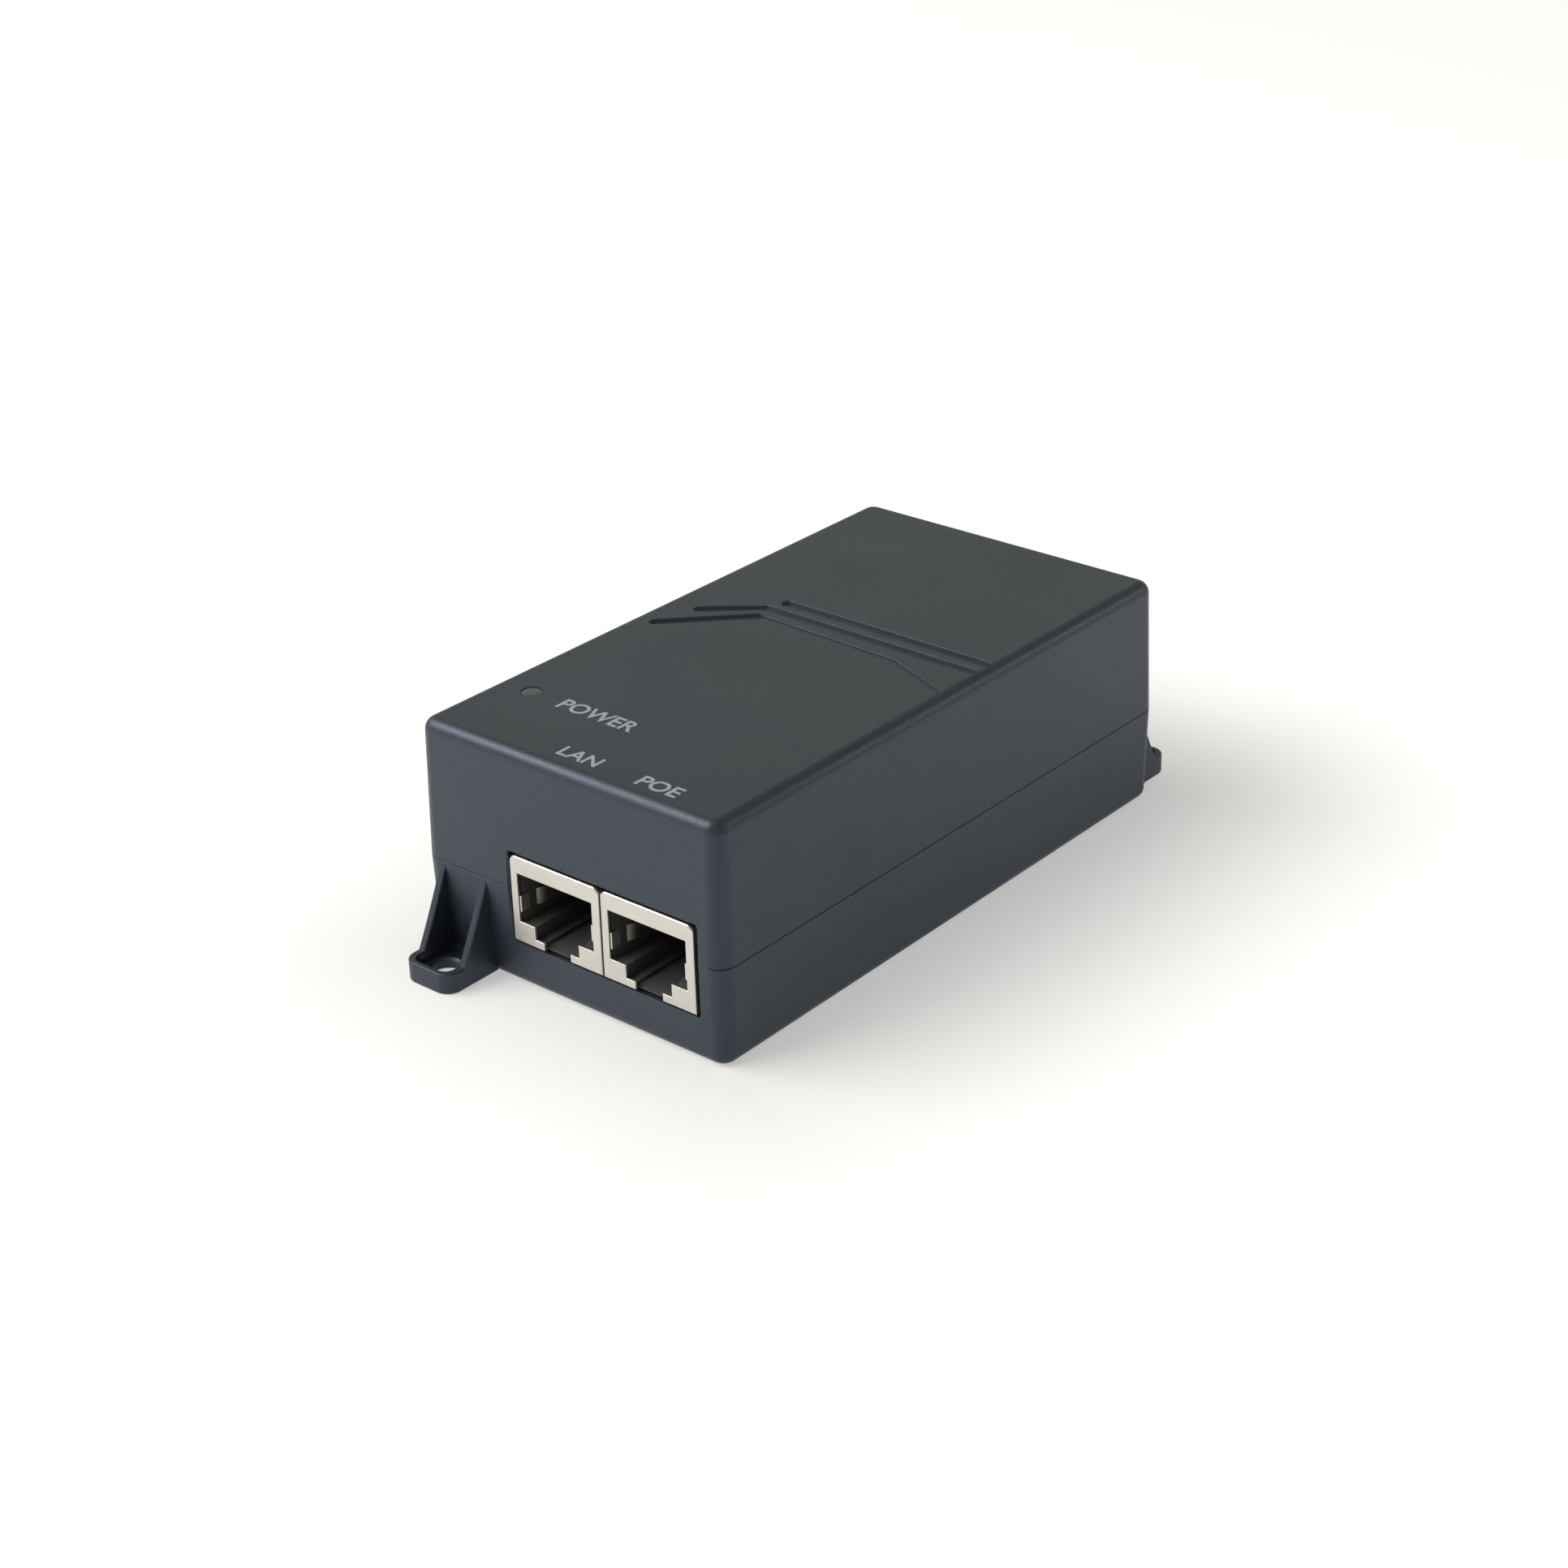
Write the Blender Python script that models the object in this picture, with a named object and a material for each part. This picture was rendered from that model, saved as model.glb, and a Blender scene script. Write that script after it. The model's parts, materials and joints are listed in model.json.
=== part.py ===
"""Power-over-Ethernet injector: two moulded shells round a mains supply and two network jacks.

Frame: metres, +Z up. The origin is the centre of the underside. The two network jacks face -Y,
the mains inlet faces +Y, and the row of jacks runs along +X. Each object is one physical piece.
Touching pieces keep CLEARANCE between them. The eight spring contacts of a jack turn together
about the bend at the front of that jack, so each contact's origin lies on that axis.
"""
import math

import bmesh
import bpy
from mathutils import Matrix, Vector

MM = 0.001
CLEARANCE = 0.3 * MM

# Case shells
CASE_WIDTH = 52.0 * MM
CASE_LENGTH = 95.0 * MM
CASE_HEIGHT = 34.0 * MM
SPLIT_HEIGHT = 14.2 * MM
WALL = 2.1 * MM
FLOOR = 2.2 * MM
CORNER_RADIUS = 2.6 * MM
TOP_FILLET = 1.8 * MM
BOTTOM_FILLET = 1.5 * MM
COVER_DRAFT = 0.45 * MM
BASE_DRAFT = 0.43 * MM
TONGUE_THICKNESS = 1.0 * MM
TONGUE_HEIGHT = 1.1 * MM
CORNER_STEPS = 5
FILLET_STEPS = 4
FRONT = -CASE_LENGTH / 2
BACK = CASE_LENGTH / 2
CEILING = CASE_HEIGHT - WALL

# Screw ears on the base, at the front left and, turned half round, at the back right
EAR_CENTRE_X = -18.8 * MM
EAR_WIDTH = 8.6 * MM
EAR_REACH = 8.0 * MM
EAR_HEIGHT = 3.0 * MM
EAR_CORNER = 2.2 * MM
EAR_FLOOR = 1.5 * MM                # the seat for a screw head, sunk inside a raised rim
EAR_RIM = 0.8 * MM
EAR_HOLE_REACH = 4.2 * MM
EAR_HOLE_RADIUS = 2.05 * MM
EAR_HOLE_CHAMFER = 0.35 * MM
EAR_ROOT_REACH = 0.4 * MM
EAR_ROOT_HEIGHT = 0.9 * MM
RIB_THICKNESS = 1.1 * MM
RIB_TOP = SPLIT_HEIGHT - 0.6 * MM
RIB_REACH = 4.9 * MM

# Case screws, driven up from below
BOSS_RADIUS = 3.0 * MM
BOSS_X = 21.0 * MM
BOSS_PLACES = ((-BOSS_X, -41.5 * MM), (BOSS_X, -22.5 * MM), (-BOSS_X, 41.0 * MM), (BOSS_X, 41.0 * MM))
BOSS_SPLIT = SPLIT_HEIGHT + TONGUE_HEIGHT - 0.1 * MM
SCREW_HEAD_RADIUS = 2.2 * MM
SCREW_HEAD_HEIGHT = 1.8 * MM
SCREW_SHANK_RADIUS = 1.3 * MM
SCREW_SHANK_LENGTH = 15.7 * MM
SCREW_RECESS = 2.6 * MM
BOSS_HOLE_RADIUS = SCREW_SHANK_RADIUS + CLEARANCE

# Circuit board
BOARD_BOTTOM = 4.8 * MM
BOARD_TOP = 6.4 * MM
BOARD_WIDTH = 45.4 * MM
BOARD_LENGTH = 89.2 * MM
SEAT = BOARD_TOP + CLEARANCE        # underside of every component on the board
LEDGE_PLACES = (-8.0 * MM, 14.0 * MM)
LEDGE_REACH = 20.6 * MM
LEDGE_LENGTH = 5.0 * MM

# Network jacks
JACK_CENTRES = {"lan": -2.25 * MM, "poe": 13.55 * MM}
JACK_WIDTH = 15.5 * MM
JACK_DEPTH = 21.0 * MM
JACK_BOTTOM = SEAT
JACK_TOP = 19.2 * MM
SHEET = 0.4 * MM
SHIELD_CORNER = 1.0 * MM
PLUG_HALF_WIDTH = 6.0 * MM
PLUG_BOTTOM = 9.75 * MM
PLUG_TOP = 16.8 * MM
LATCH_HALF_WIDTH = 3.85 * MM
LATCH_BOTTOM = 7.9 * MM
KEY_HALF_WIDTH = 2.3 * MM
KEY_BOTTOM = 7.4 * MM
PLUG_DEPTH = 13.0 * MM
HOUSING_DEPTH = 15.0 * MM
HOUSING_FRONT = FRONT + SHEET + CLEARANCE
INSERT_HALF_WIDTH = 4.1 * MM
INSERT_FRONT = FRONT + 4.5 * MM
INSERT_BACK = FRONT + JACK_DEPTH - 1.0 * MM
WINDOW_HALF_WIDTH = 6.5 * MM        # the shield's window stands back from the plug cavity
APERTURE_LEFT_GAP = 0.3 * MM
APERTURE_RIGHT_GAP = 0.55 * MM
APERTURE_BOTTOM = JACK_BOTTOM - CLEARANCE
APERTURE_TOP = JACK_TOP + CLEARANCE

# Spring contacts: flat stamped wires that bend back on themselves at the front
CONTACT_COUNT = 8
CONTACT_PITCH = 1.02 * MM
CONTACT_WIDTH = 0.46 * MM
CONTACT_THICKNESS = 0.3 * MM
BEND_RADIUS = 0.5 * MM
BEND_Y = FRONT + 3.5 * MM
BEND_Z = 17.1 * MM
CONTACT_SLOPE = math.radians(25.0)
CONTACT_LENGTH = 9.2 * MM
CONTACT_ROOT = 0.75 * MM

# Mains inlet
INLET_X = -2.5 * MM
INLET_Z = 17.0 * MM
INLET_BODY = (27.3 * MM, 19.8 * MM)
INLET_FLANGE = (29.0 * MM, 22.6 * MM)
FLANGE_THICKNESS = 1.5 * MM
FLANGE_CORNER = 2.0 * MM
INLET_FACE = BACK + CLEARANCE + FLANGE_THICKNESS
INLET_MOUTH = (24.8 * MM, 16.8 * MM)
INLET_CHAMFER = 4.6 * MM
INLET_DEPTH = 16.6 * MM
INLET_END = 2.0 * MM
PIN_SECTION = (2.0 * MM, 4.0 * MM)
PIN_PLACES = {"line": (7.0 * MM, -2.0 * MM), "neutral": (-7.0 * MM, -2.0 * MM), "earth": (0.0, 2.0 * MM)}
PIN_RECESS = 3.4 * MM
PIN_TAIL = 1.6 * MM
PIN_TAIL_BACK = 27.0 * MM

# Chevron grooves in the top: (path, width, depth)
GROOVES = (
    (((-19.2 * MM, 0.8 * MM), (-12.2 * MM, 6.7 * MM), (23.6 * MM, 6.7 * MM)), 1.8 * MM, 0.4 * MM),
    (((-10.6 * MM, 9.7 * MM), (23.6 * MM, 9.7 * MM)), 1.8 * MM, 0.4 * MM),
    (((-21.3 * MM, -6.0 * MM), (-11.0 * MM, 4.0 * MM)), 1.8 * MM, 0.4 * MM),
    (((-10.4 * MM, 4.0 * MM), (12.6 * MM, 3.2 * MM), (23.6 * MM, -1.2 * MM)), 1.0 * MM, 0.2 * MM),
)

# Status light
LIGHT_X = -19.1 * MM
LIGHT_Y = -32.6 * MM
LIGHT_PIPE_RADIUS = 1.45 * MM
LIGHT_PIPE_BOTTOM = 12.5 * MM
LIGHT_SLEEVE_RADIUS = 3.0 * MM
LIGHT_SLEEVE_BOTTOM = 25.0 * MM

COLOURS = {
    "case": ((0.018, 0.020, 0.025), 0.50, 0.0),
    "shield": ((0.80, 0.78, 0.73), 0.32, 1.0),
    "jack_plastic": ((0.012, 0.012, 0.013), 0.45, 0.0),
    "gold": ((0.83, 0.62, 0.25), 0.25, 1.0),
    "brass": ((0.78, 0.74, 0.66), 0.28, 1.0),
    "screw": ((0.45, 0.45, 0.46), 0.35, 1.0),
    "board": ((0.02, 0.13, 0.06), 0.45, 0.0),
    "sheet": ((0.55, 0.50, 0.38), 0.60, 0.0),
    "light": ((0.20, 0.32, 0.24), 0.20, 0.0),
    "aluminium": ((0.62, 0.63, 0.65), 0.40, 1.0),
    "ferrite": ((0.06, 0.06, 0.065), 0.70, 0.0),
    "tape": ((0.72, 0.52, 0.08), 0.45, 0.0),
    "copper": ((0.62, 0.26, 0.10), 0.35, 1.0),
    "can": ((0.05, 0.07, 0.16), 0.35, 0.0),
    "epoxy": ((0.02, 0.02, 0.022), 0.55, 0.0),
    "yellow_box": ((0.70, 0.55, 0.08), 0.40, 0.0),
    "blue_disc": ((0.04, 0.16, 0.42), 0.35, 0.0),
    "green_disc": ((0.06, 0.20, 0.10), 0.40, 0.0),
}


def clear_scene():
    for old in list(bpy.data.objects):
        bpy.data.objects.remove(old, do_unlink=True)


def material(slot):
    """Return the Principled material of one colour slot, making it once."""
    existing = bpy.data.materials.get(slot)
    if existing:
        return existing
    colour, roughness, metallic = COLOURS[slot]
    made = bpy.data.materials.new(slot)
    made.use_nodes = True
    shader = made.node_tree.nodes["Principled BSDF"]
    shader.inputs["Base Color"].default_value = (*colour, 1.0)
    shader.inputs["Roughness"].default_value = roughness
    shader.inputs["Metallic"].default_value = metallic
    made.diffuse_color = (*colour, 1.0)
    return made


def add_object(name, bm, slot, smooth=False):
    """Turn a bmesh into a named object with outward faces."""
    bmesh.ops.recalc_face_normals(bm, faces=bm.faces)
    mesh = bpy.data.meshes.new(name)
    bm.to_mesh(mesh)
    bm.free()
    piece = bpy.data.objects.new(name, mesh)
    bpy.context.collection.objects.link(piece)
    mesh.materials.append(material(slot))
    if smooth:
        mesh.shade_smooth()
        mesh.set_sharp_from_angle(angle=math.radians(35.0))
    return piece


def combine(piece, tool, operation):
    """Join or cut a piece with a tool solid, then drop the tool."""
    step = piece.modifiers.new(operation.lower(), "BOOLEAN")
    step.operation = operation
    step.object = tool
    step.solver = "EXACT"
    graph = bpy.context.evaluated_depsgraph_get()
    result = bpy.data.meshes.new_from_object(piece.evaluated_get(graph))
    piece.modifiers.clear()
    piece.data = result
    bpy.data.objects.remove(tool, do_unlink=True)


def box_mesh(bm, low, high):
    """Add a closed box between two opposite corners."""
    centre = (Vector(low) + Vector(high)) / 2
    size = Vector(high) - Vector(low)
    place = Matrix.Translation(centre) @ Matrix.Diagonal((*size, 1.0))
    bmesh.ops.create_cube(bm, size=1.0, matrix=place)


def box_object(name, low, high, slot, bevel=0.0):
    """Make a box, its edges rounded when a bevel width is given."""
    bm = bmesh.new()
    box_mesh(bm, low, high)
    if bevel:
        bmesh.ops.bevel(bm, geom=bm.edges[:], offset=bevel, segments=2, profile=0.5, affect="EDGES")
    return add_object(name, bm, slot, smooth=bool(bevel))


def cylinder_mesh(bm, centre, radius, low, high, sides):
    """Add a closed upright cylinder."""
    place = Matrix.Translation((centre[0], centre[1], (low + high) / 2))
    bmesh.ops.create_cone(
        bm, cap_ends=True, segments=sides, radius1=radius, radius2=radius, depth=high - low,
        matrix=place)


def prism_mesh(bm, outline, axis, low, high):
    """Extrude a flat outline along X, Y or Z. Its points are the other two coordinates, in order."""
    def place(point, along):
        values = list(point)
        values.insert("XYZ".index(axis), along)
        return values

    first = [bm.verts.new(place(point, low)) for point in outline]
    second = [bm.verts.new(place(point, high)) for point in outline]
    bm.faces.new(first)
    bm.faces.new(reversed(second))
    for index in range(len(outline)):
        following = (index + 1) % len(outline)
        bm.faces.new((first[index], second[index], second[following], first[following]))


def prism_object(name, outline, axis, low, high, slot):
    bm = bmesh.new()
    prism_mesh(bm, outline, axis, low, high)
    return add_object(name, bm, slot)


def turned_object(name, profile, centre, slot, sides=20):
    """Spin a (radius, z) profile about an upright axis. Its first and last points lie on the axis."""
    bm = bmesh.new()
    poles = [bm.verts.new((centre[0], centre[1], profile[0][1]))]
    rings = []
    for radius, z in profile[1:-1]:
        ring = []
        for index in range(sides):
            angle = math.tau * index / sides
            x = centre[0] + radius * math.cos(angle)
            y = centre[1] + radius * math.sin(angle)
            ring.append(bm.verts.new((x, y, z)))
        rings.append(ring)
    poles.append(bm.verts.new((centre[0], centre[1], profile[-1][1])))
    for index in range(sides):
        following = (index + 1) % sides
        bm.faces.new((poles[0], rings[0][following], rings[0][index]))
        bm.faces.new((poles[1], rings[-1][index], rings[-1][following]))
        for lower, upper in zip(rings, rings[1:]):
            bm.faces.new((lower[index], lower[following], upper[following], upper[index]))
    return add_object(name, bm, slot, smooth=True)


def rounded_rectangle(width, height, radius, steps, centre=(0.0, 0.0)):
    """Points of a rectangle with round corners, counter-clockwise."""
    points = []
    for corner, (sign_u, sign_v) in enumerate(((1, 1), (-1, 1), (-1, -1), (1, -1))):
        hub_u = centre[0] + sign_u * (width / 2 - radius)
        hub_v = centre[1] + sign_v * (height / 2 - radius)
        for step in range(steps + 1):
            angle = math.pi / 2 * (corner + step / steps)
            points.append((hub_u + radius * math.cos(angle), hub_v + radius * math.sin(angle)))
    return points


def case_ring(bm, inset, z):
    """One level of the case's outline, inset from its outline at the split."""
    radius = max(CORNER_RADIUS - inset, 0.6 * MM)
    outline = rounded_rectangle(CASE_WIDTH - 2 * inset, CASE_LENGTH - 2 * inset, radius, CORNER_STEPS)
    return [bm.verts.new((x, y, z)) for x, y in outline]


def loft(levels):
    """Skin a closed shell over (inset, z) levels, from its outer cap round the rim to its inner cap."""
    bm = bmesh.new()
    rings = [case_ring(bm, inset, z) for inset, z in levels]
    for ring, following in zip(rings, rings[1:]):
        for index in range(len(ring)):
            beside = (index + 1) % len(ring)
            bm.faces.new((ring[index], ring[beside], following[beside], following[index]))
    bm.faces.new(rings[0])
    bm.faces.new(rings[-1])
    return bm


def edge_fillet(radius, draft, end_z, direction):
    """Levels of the round edge between a flat end face and the drafted side."""
    levels = []
    for step in range(FILLET_STEPS + 1):
        angle = math.pi / 2 * step / FILLET_STEPS
        inset = draft + radius * (1 - math.sin(angle))
        levels.append((inset, end_z + direction * radius * (1 - math.cos(angle))))
    return levels


def boss_places_tool(radius, low, high, sides, name):
    """Upright cylinders at the four screw places, as one tool."""
    bm = bmesh.new()
    for place in BOSS_PLACES:
        cylinder_mesh(bm, place, radius, low, high, sides)
    return add_object(name, bm, "case")


def jack_aperture():
    """The opening in the front wall that both jacks show through; it crosses the split."""
    left = JACK_CENTRES["lan"] - JACK_WIDTH / 2 - APERTURE_LEFT_GAP
    right = JACK_CENTRES["poe"] + JACK_WIDTH / 2 + APERTURE_RIGHT_GAP
    low = (left, FRONT - 2 * MM, APERTURE_BOTTOM)
    high = (right, FRONT + WALL + 2 * MM, APERTURE_TOP)
    return box_object("aperture", low, high, "case")


def inlet_aperture():
    half_width = INLET_BODY[0] / 2 + CLEARANCE
    half_height = INLET_BODY[1] / 2 + CLEARANCE
    low = (INLET_X - half_width, BACK - WALL - 2 * MM, INLET_Z - half_height)
    high = (INLET_X + half_width, BACK + 2 * MM, INLET_Z + half_height)
    return box_object("inlet_aperture", low, high, "case")


def strip_outline(path, width):
    """Outline of a strip of one width along a bent path, with mitred elbows."""
    points = [Vector(point) for point in path]
    directions = [(b - a).normalized() for a, b in zip(points, points[1:])]
    left = []
    right = []
    for index, point in enumerate(points):
        before = directions[max(index - 1, 0)]
        after = directions[min(index, len(directions) - 1)]
        bisector = (before + after).normalized()
        normal = Vector((-bisector.y, bisector.x))
        reach = width / 2 / normal.dot(Vector((-after.y, after.x)))
        left.append(tuple(point + normal * reach))
        right.append(tuple(point - normal * reach))
    return left + right[::-1]


def make_top_cover():
    levels = edge_fillet(TOP_FILLET, COVER_DRAFT, CASE_HEIGHT, -1)
    rim = SPLIT_HEIGHT + CLEARANCE / 2
    rebate = WALL - TONGUE_THICKNESS - CLEARANCE
    levels += [
        (0.0, rim),
        (rebate, rim),
        (rebate, SPLIT_HEIGHT + TONGUE_HEIGHT + CLEARANCE),
        (WALL, SPLIT_HEIGHT + TONGUE_HEIGHT + CLEARANCE),
        (WALL + COVER_DRAFT, CEILING),
    ]
    cover = add_object("top_cover", loft(levels), "case", smooth=True)
    bosses = boss_places_tool(BOSS_RADIUS, BOSS_SPLIT + CLEARANCE, CEILING + MM, 20, "bosses")
    combine(cover, bosses, "UNION")
    sleeve = bmesh.new()
    cylinder_mesh(sleeve, (LIGHT_X, LIGHT_Y), LIGHT_SLEEVE_RADIUS, LIGHT_SLEEVE_BOTTOM, CEILING + MM, 20)
    combine(cover, add_object("sleeve", sleeve, "case"), "UNION")
    pilot_top = SCREW_RECESS + SCREW_SHANK_LENGTH + 1.5 * MM
    pilots = boss_places_tool(BOSS_HOLE_RADIUS, SPLIT_HEIGHT - MM, pilot_top, 12, "pilots")
    combine(cover, pilots, "DIFFERENCE")
    hole = bmesh.new()
    hole_radius = LIGHT_PIPE_RADIUS + CLEARANCE
    cylinder_mesh(hole, (LIGHT_X, LIGHT_Y), hole_radius, LIGHT_SLEEVE_BOTTOM - MM, CASE_HEIGHT + MM, 20)
    combine(cover, add_object("light_hole", hole, "case"), "DIFFERENCE")
    combine(cover, jack_aperture(), "DIFFERENCE")
    combine(cover, inlet_aperture(), "DIFFERENCE")
    for path, width, depth in GROOVES:
        outline = strip_outline(path, width)
        groove = prism_object("groove", outline, "Z", CASE_HEIGHT - depth, CASE_HEIGHT + MM, "case")
        combine(cover, groove, "DIFFERENCE")
    return cover


def ear_outline(left, right, tip, corner):
    """Plan of the front ear, or of its sunk seat: round outer corners, rooted inside the wall."""
    inside = FRONT + WALL / 2
    outline = [(right, inside), (left, inside)]
    for hub_x, start in ((left + corner, math.pi), (right - corner, 1.5 * math.pi)):
        for step in range(CORNER_STEPS + 1):
            angle = start + math.pi / 2 * step / CORNER_STEPS
            x = hub_x + corner * math.cos(angle)
            outline.append((x, tip + corner + corner * math.sin(angle)))
    return outline


def ear_rib(low_x):
    """Gusset rib on the front ear: a straight brace from the split down to the rim."""
    inside = FRONT + WALL / 2
    outline = [
        (FRONT, RIB_TOP),
        (FRONT - RIB_REACH, EAR_HEIGHT),
        (FRONT - RIB_REACH, MM),
        (inside, MM),
        (inside, RIB_TOP),
    ]
    return prism_object("ear_rib", outline, "X", low_x, low_x + RIB_THICKNESS, "case")


def ear_root(low_x, high_x):
    """Sloped fillet along the inner corner between the front ear's seat and the drafted wall."""
    inside = FRONT + WALL / 2
    top = EAR_FLOOR + EAR_ROOT_HEIGHT
    outline = [
        (FRONT - EAR_ROOT_REACH, EAR_FLOOR / 2),
        (inside, EAR_FLOOR / 2),
        (inside, top),
        (FRONT + BASE_DRAFT, top),
        (FRONT - EAR_ROOT_REACH, EAR_FLOOR),
    ]
    return prism_object("ear_root", outline, "X", low_x, high_x, "case")


def make_ear():
    """The front ear as one tool solid: a plate with a sunk seat, braced by a rib along each side."""
    left = EAR_CENTRE_X - EAR_WIDTH / 2
    right = EAR_CENTRE_X + EAR_WIDTH / 2
    tip = FRONT - EAR_REACH
    ear = prism_object(
        "ear", ear_outline(left, right, tip, EAR_CORNER), "Z", 0.0, EAR_HEIGHT, "case")
    seat = ear_outline(
        left + RIB_THICKNESS, right - RIB_THICKNESS, tip + EAR_RIM, EAR_CORNER - RIB_THICKNESS)
    combine(ear, prism_object("seat", seat, "Z", EAR_FLOOR, EAR_HEIGHT + MM, "case"), "DIFFERENCE")
    combine(ear, ear_root(left + RIB_THICKNESS / 2, right - RIB_THICKNESS / 2), "UNION")
    combine(ear, ear_rib(left), "UNION")
    combine(ear, ear_rib(right - RIB_THICKNESS), "UNION")
    return ear


def ear_hole():
    """Screw hole of the front ear: a straight throat under a small chamfer, as one turned tool."""
    margin = 0.5 * MM
    profile = [
        (0.0, -margin),
        (EAR_HOLE_RADIUS, -margin),
        (EAR_HOLE_RADIUS, EAR_FLOOR - EAR_HOLE_CHAMFER),
        (EAR_HOLE_RADIUS + EAR_HOLE_CHAMFER + margin, EAR_FLOOR + margin),
        (0.0, EAR_FLOOR + margin),
    ]
    return turned_object("ear_hole", profile, (EAR_CENTRE_X, FRONT - EAR_HOLE_REACH), "case", sides=24)


def half_turn(piece):
    """Turn a tool solid half round the case's centre line, from the front ear to the back one."""
    piece.data.transform(Matrix.Rotation(math.pi, 4, "Z"))
    return piece


def make_bottom_cover():
    levels = edge_fillet(BOTTOM_FILLET, BASE_DRAFT, 0.0, 1)
    rim = SPLIT_HEIGHT - CLEARANCE / 2
    shoulder = WALL - TONGUE_THICKNESS
    levels += [
        (0.0, rim),
        (shoulder, rim),
        (shoulder, SPLIT_HEIGHT + TONGUE_HEIGHT),
        (WALL, SPLIT_HEIGHT + TONGUE_HEIGHT),
        (WALL + BASE_DRAFT, FLOOR),
    ]
    base = add_object("bottom_cover", loft(levels), "case", smooth=True)
    bosses = boss_places_tool(BOSS_RADIUS, FLOOR - MM, BOSS_SPLIT, 20, "bosses")
    combine(base, bosses, "UNION")
    for y in LEDGE_PLACES:
        for side in (-1, 1):
            edges = sorted((side * LEDGE_REACH, side * (CASE_WIDTH / 2 - WALL / 2 - BASE_DRAFT)))
            low = (edges[0], y - LEDGE_LENGTH / 2, FLOOR - MM)
            high = (edges[1], y + LEDGE_LENGTH / 2, BOARD_BOTTOM - CLEARANCE)
            combine(base, box_object("ledge", low, high, "case"), "UNION")
    for turned in (False, True):
        ear = make_ear()
        hole = ear_hole()
        combine(base, half_turn(ear) if turned else ear, "UNION")
        combine(base, half_turn(hole) if turned else hole, "DIFFERENCE")
    holes = boss_places_tool(BOSS_HOLE_RADIUS, -MM, SPLIT_HEIGHT + MM, 12, "screw_holes")
    combine(base, holes, "DIFFERENCE")
    recesses = boss_places_tool(SCREW_HEAD_RADIUS + CLEARANCE, -MM, SCREW_RECESS, 20, "recesses")
    combine(base, recesses, "DIFFERENCE")
    combine(base, jack_aperture(), "DIFFERENCE")
    combine(base, inlet_aperture(), "DIFFERENCE")
    return base


def make_case_screws():
    """Pan-head screws whose heads sit up inside the recesses of the base."""
    head_top = SCREW_RECESS - CLEARANCE
    head_bottom = head_top - SCREW_HEAD_HEIGHT
    tip = head_top + SCREW_SHANK_LENGTH
    profile = [
        (0.0, head_bottom),
        (SCREW_HEAD_RADIUS * 0.75, head_bottom),
        (SCREW_HEAD_RADIUS, head_bottom + 0.6 * MM),
        (SCREW_HEAD_RADIUS, head_top),
        (SCREW_SHANK_RADIUS, head_top),
        (SCREW_SHANK_RADIUS, tip - 1.5 * MM),
        (SCREW_SHANK_RADIUS * 0.4, tip),
        (0.0, tip),
    ]
    for number, place in enumerate(BOSS_PLACES, start=1):
        turned_object(f"case_screw_{number}", profile, place, "screw", sides=12)


def board_notch(place):
    """Square notch that lets a screw boss past the board's edge, or past its corner."""
    reach = BOSS_RADIUS + CLEARANCE
    side = math.copysign(1.0, place[0])
    xs = sorted((place[0] - side * reach, side * CASE_WIDTH / 2))
    low_y = place[1] - reach
    high_y = place[1] + reach
    corner = BOARD_LENGTH / 2 - 2.5 * reach
    if place[1] > corner:
        high_y = CASE_LENGTH / 2
    if place[1] < -corner:
        low_y = -CASE_LENGTH / 2
    low = (xs[0], low_y, BOARD_BOTTOM - MM)
    return box_object("notch", low, (xs[1], high_y, BOARD_TOP + MM), "board")


def make_board():
    low = (-BOARD_WIDTH / 2, -BOARD_LENGTH / 2, BOARD_BOTTOM)
    high = (BOARD_WIDTH / 2, BOARD_LENGTH / 2, BOARD_TOP)
    board = box_object("main_pcb", low, high, "board")
    for place in BOSS_PLACES:
        combine(board, board_notch(place), "DIFFERENCE")
    sheet_bottom = FLOOR + CLEARANCE
    sheet_low = (-17.0 * MM, -24.0 * MM, sheet_bottom)
    sheet_high = (17.0 * MM, 43.0 * MM, sheet_bottom + 0.4 * MM)
    box_object("insulation_sheet", sheet_low, sheet_high, "sheet")


def arch_outline(centre_x, half_width, bottom, top, radius):
    """Front view of a box with round upper corners, as (x, z) points."""
    points = [(centre_x - half_width, bottom), (centre_x + half_width, bottom)]
    steps = 3
    for side, start in ((1, 0.0), (-1, math.pi / 2)):
        for step in range(steps + 1):
            angle = start + math.pi / 2 * step / steps
            x = centre_x + side * (half_width - radius) + radius * math.cos(angle)
            points.append((x, top - radius + radius * math.sin(angle)))
    return points


def plug_outline(centre_x, half_width, lowest):
    """Front view of the opening for a network plug, with its stepped latch slot below."""
    half = [
        (half_width, PLUG_TOP),
        (half_width, PLUG_BOTTOM),
        (LATCH_HALF_WIDTH, PLUG_BOTTOM),
        (LATCH_HALF_WIDTH, LATCH_BOTTOM),
        (KEY_HALF_WIDTH, LATCH_BOTTOM),
        (KEY_HALF_WIDTH, lowest),
    ]
    right = [(centre_x + x, z) for x, z in half]
    left = [(centre_x - x, z) for x, z in reversed(half)]
    return right + left


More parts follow.
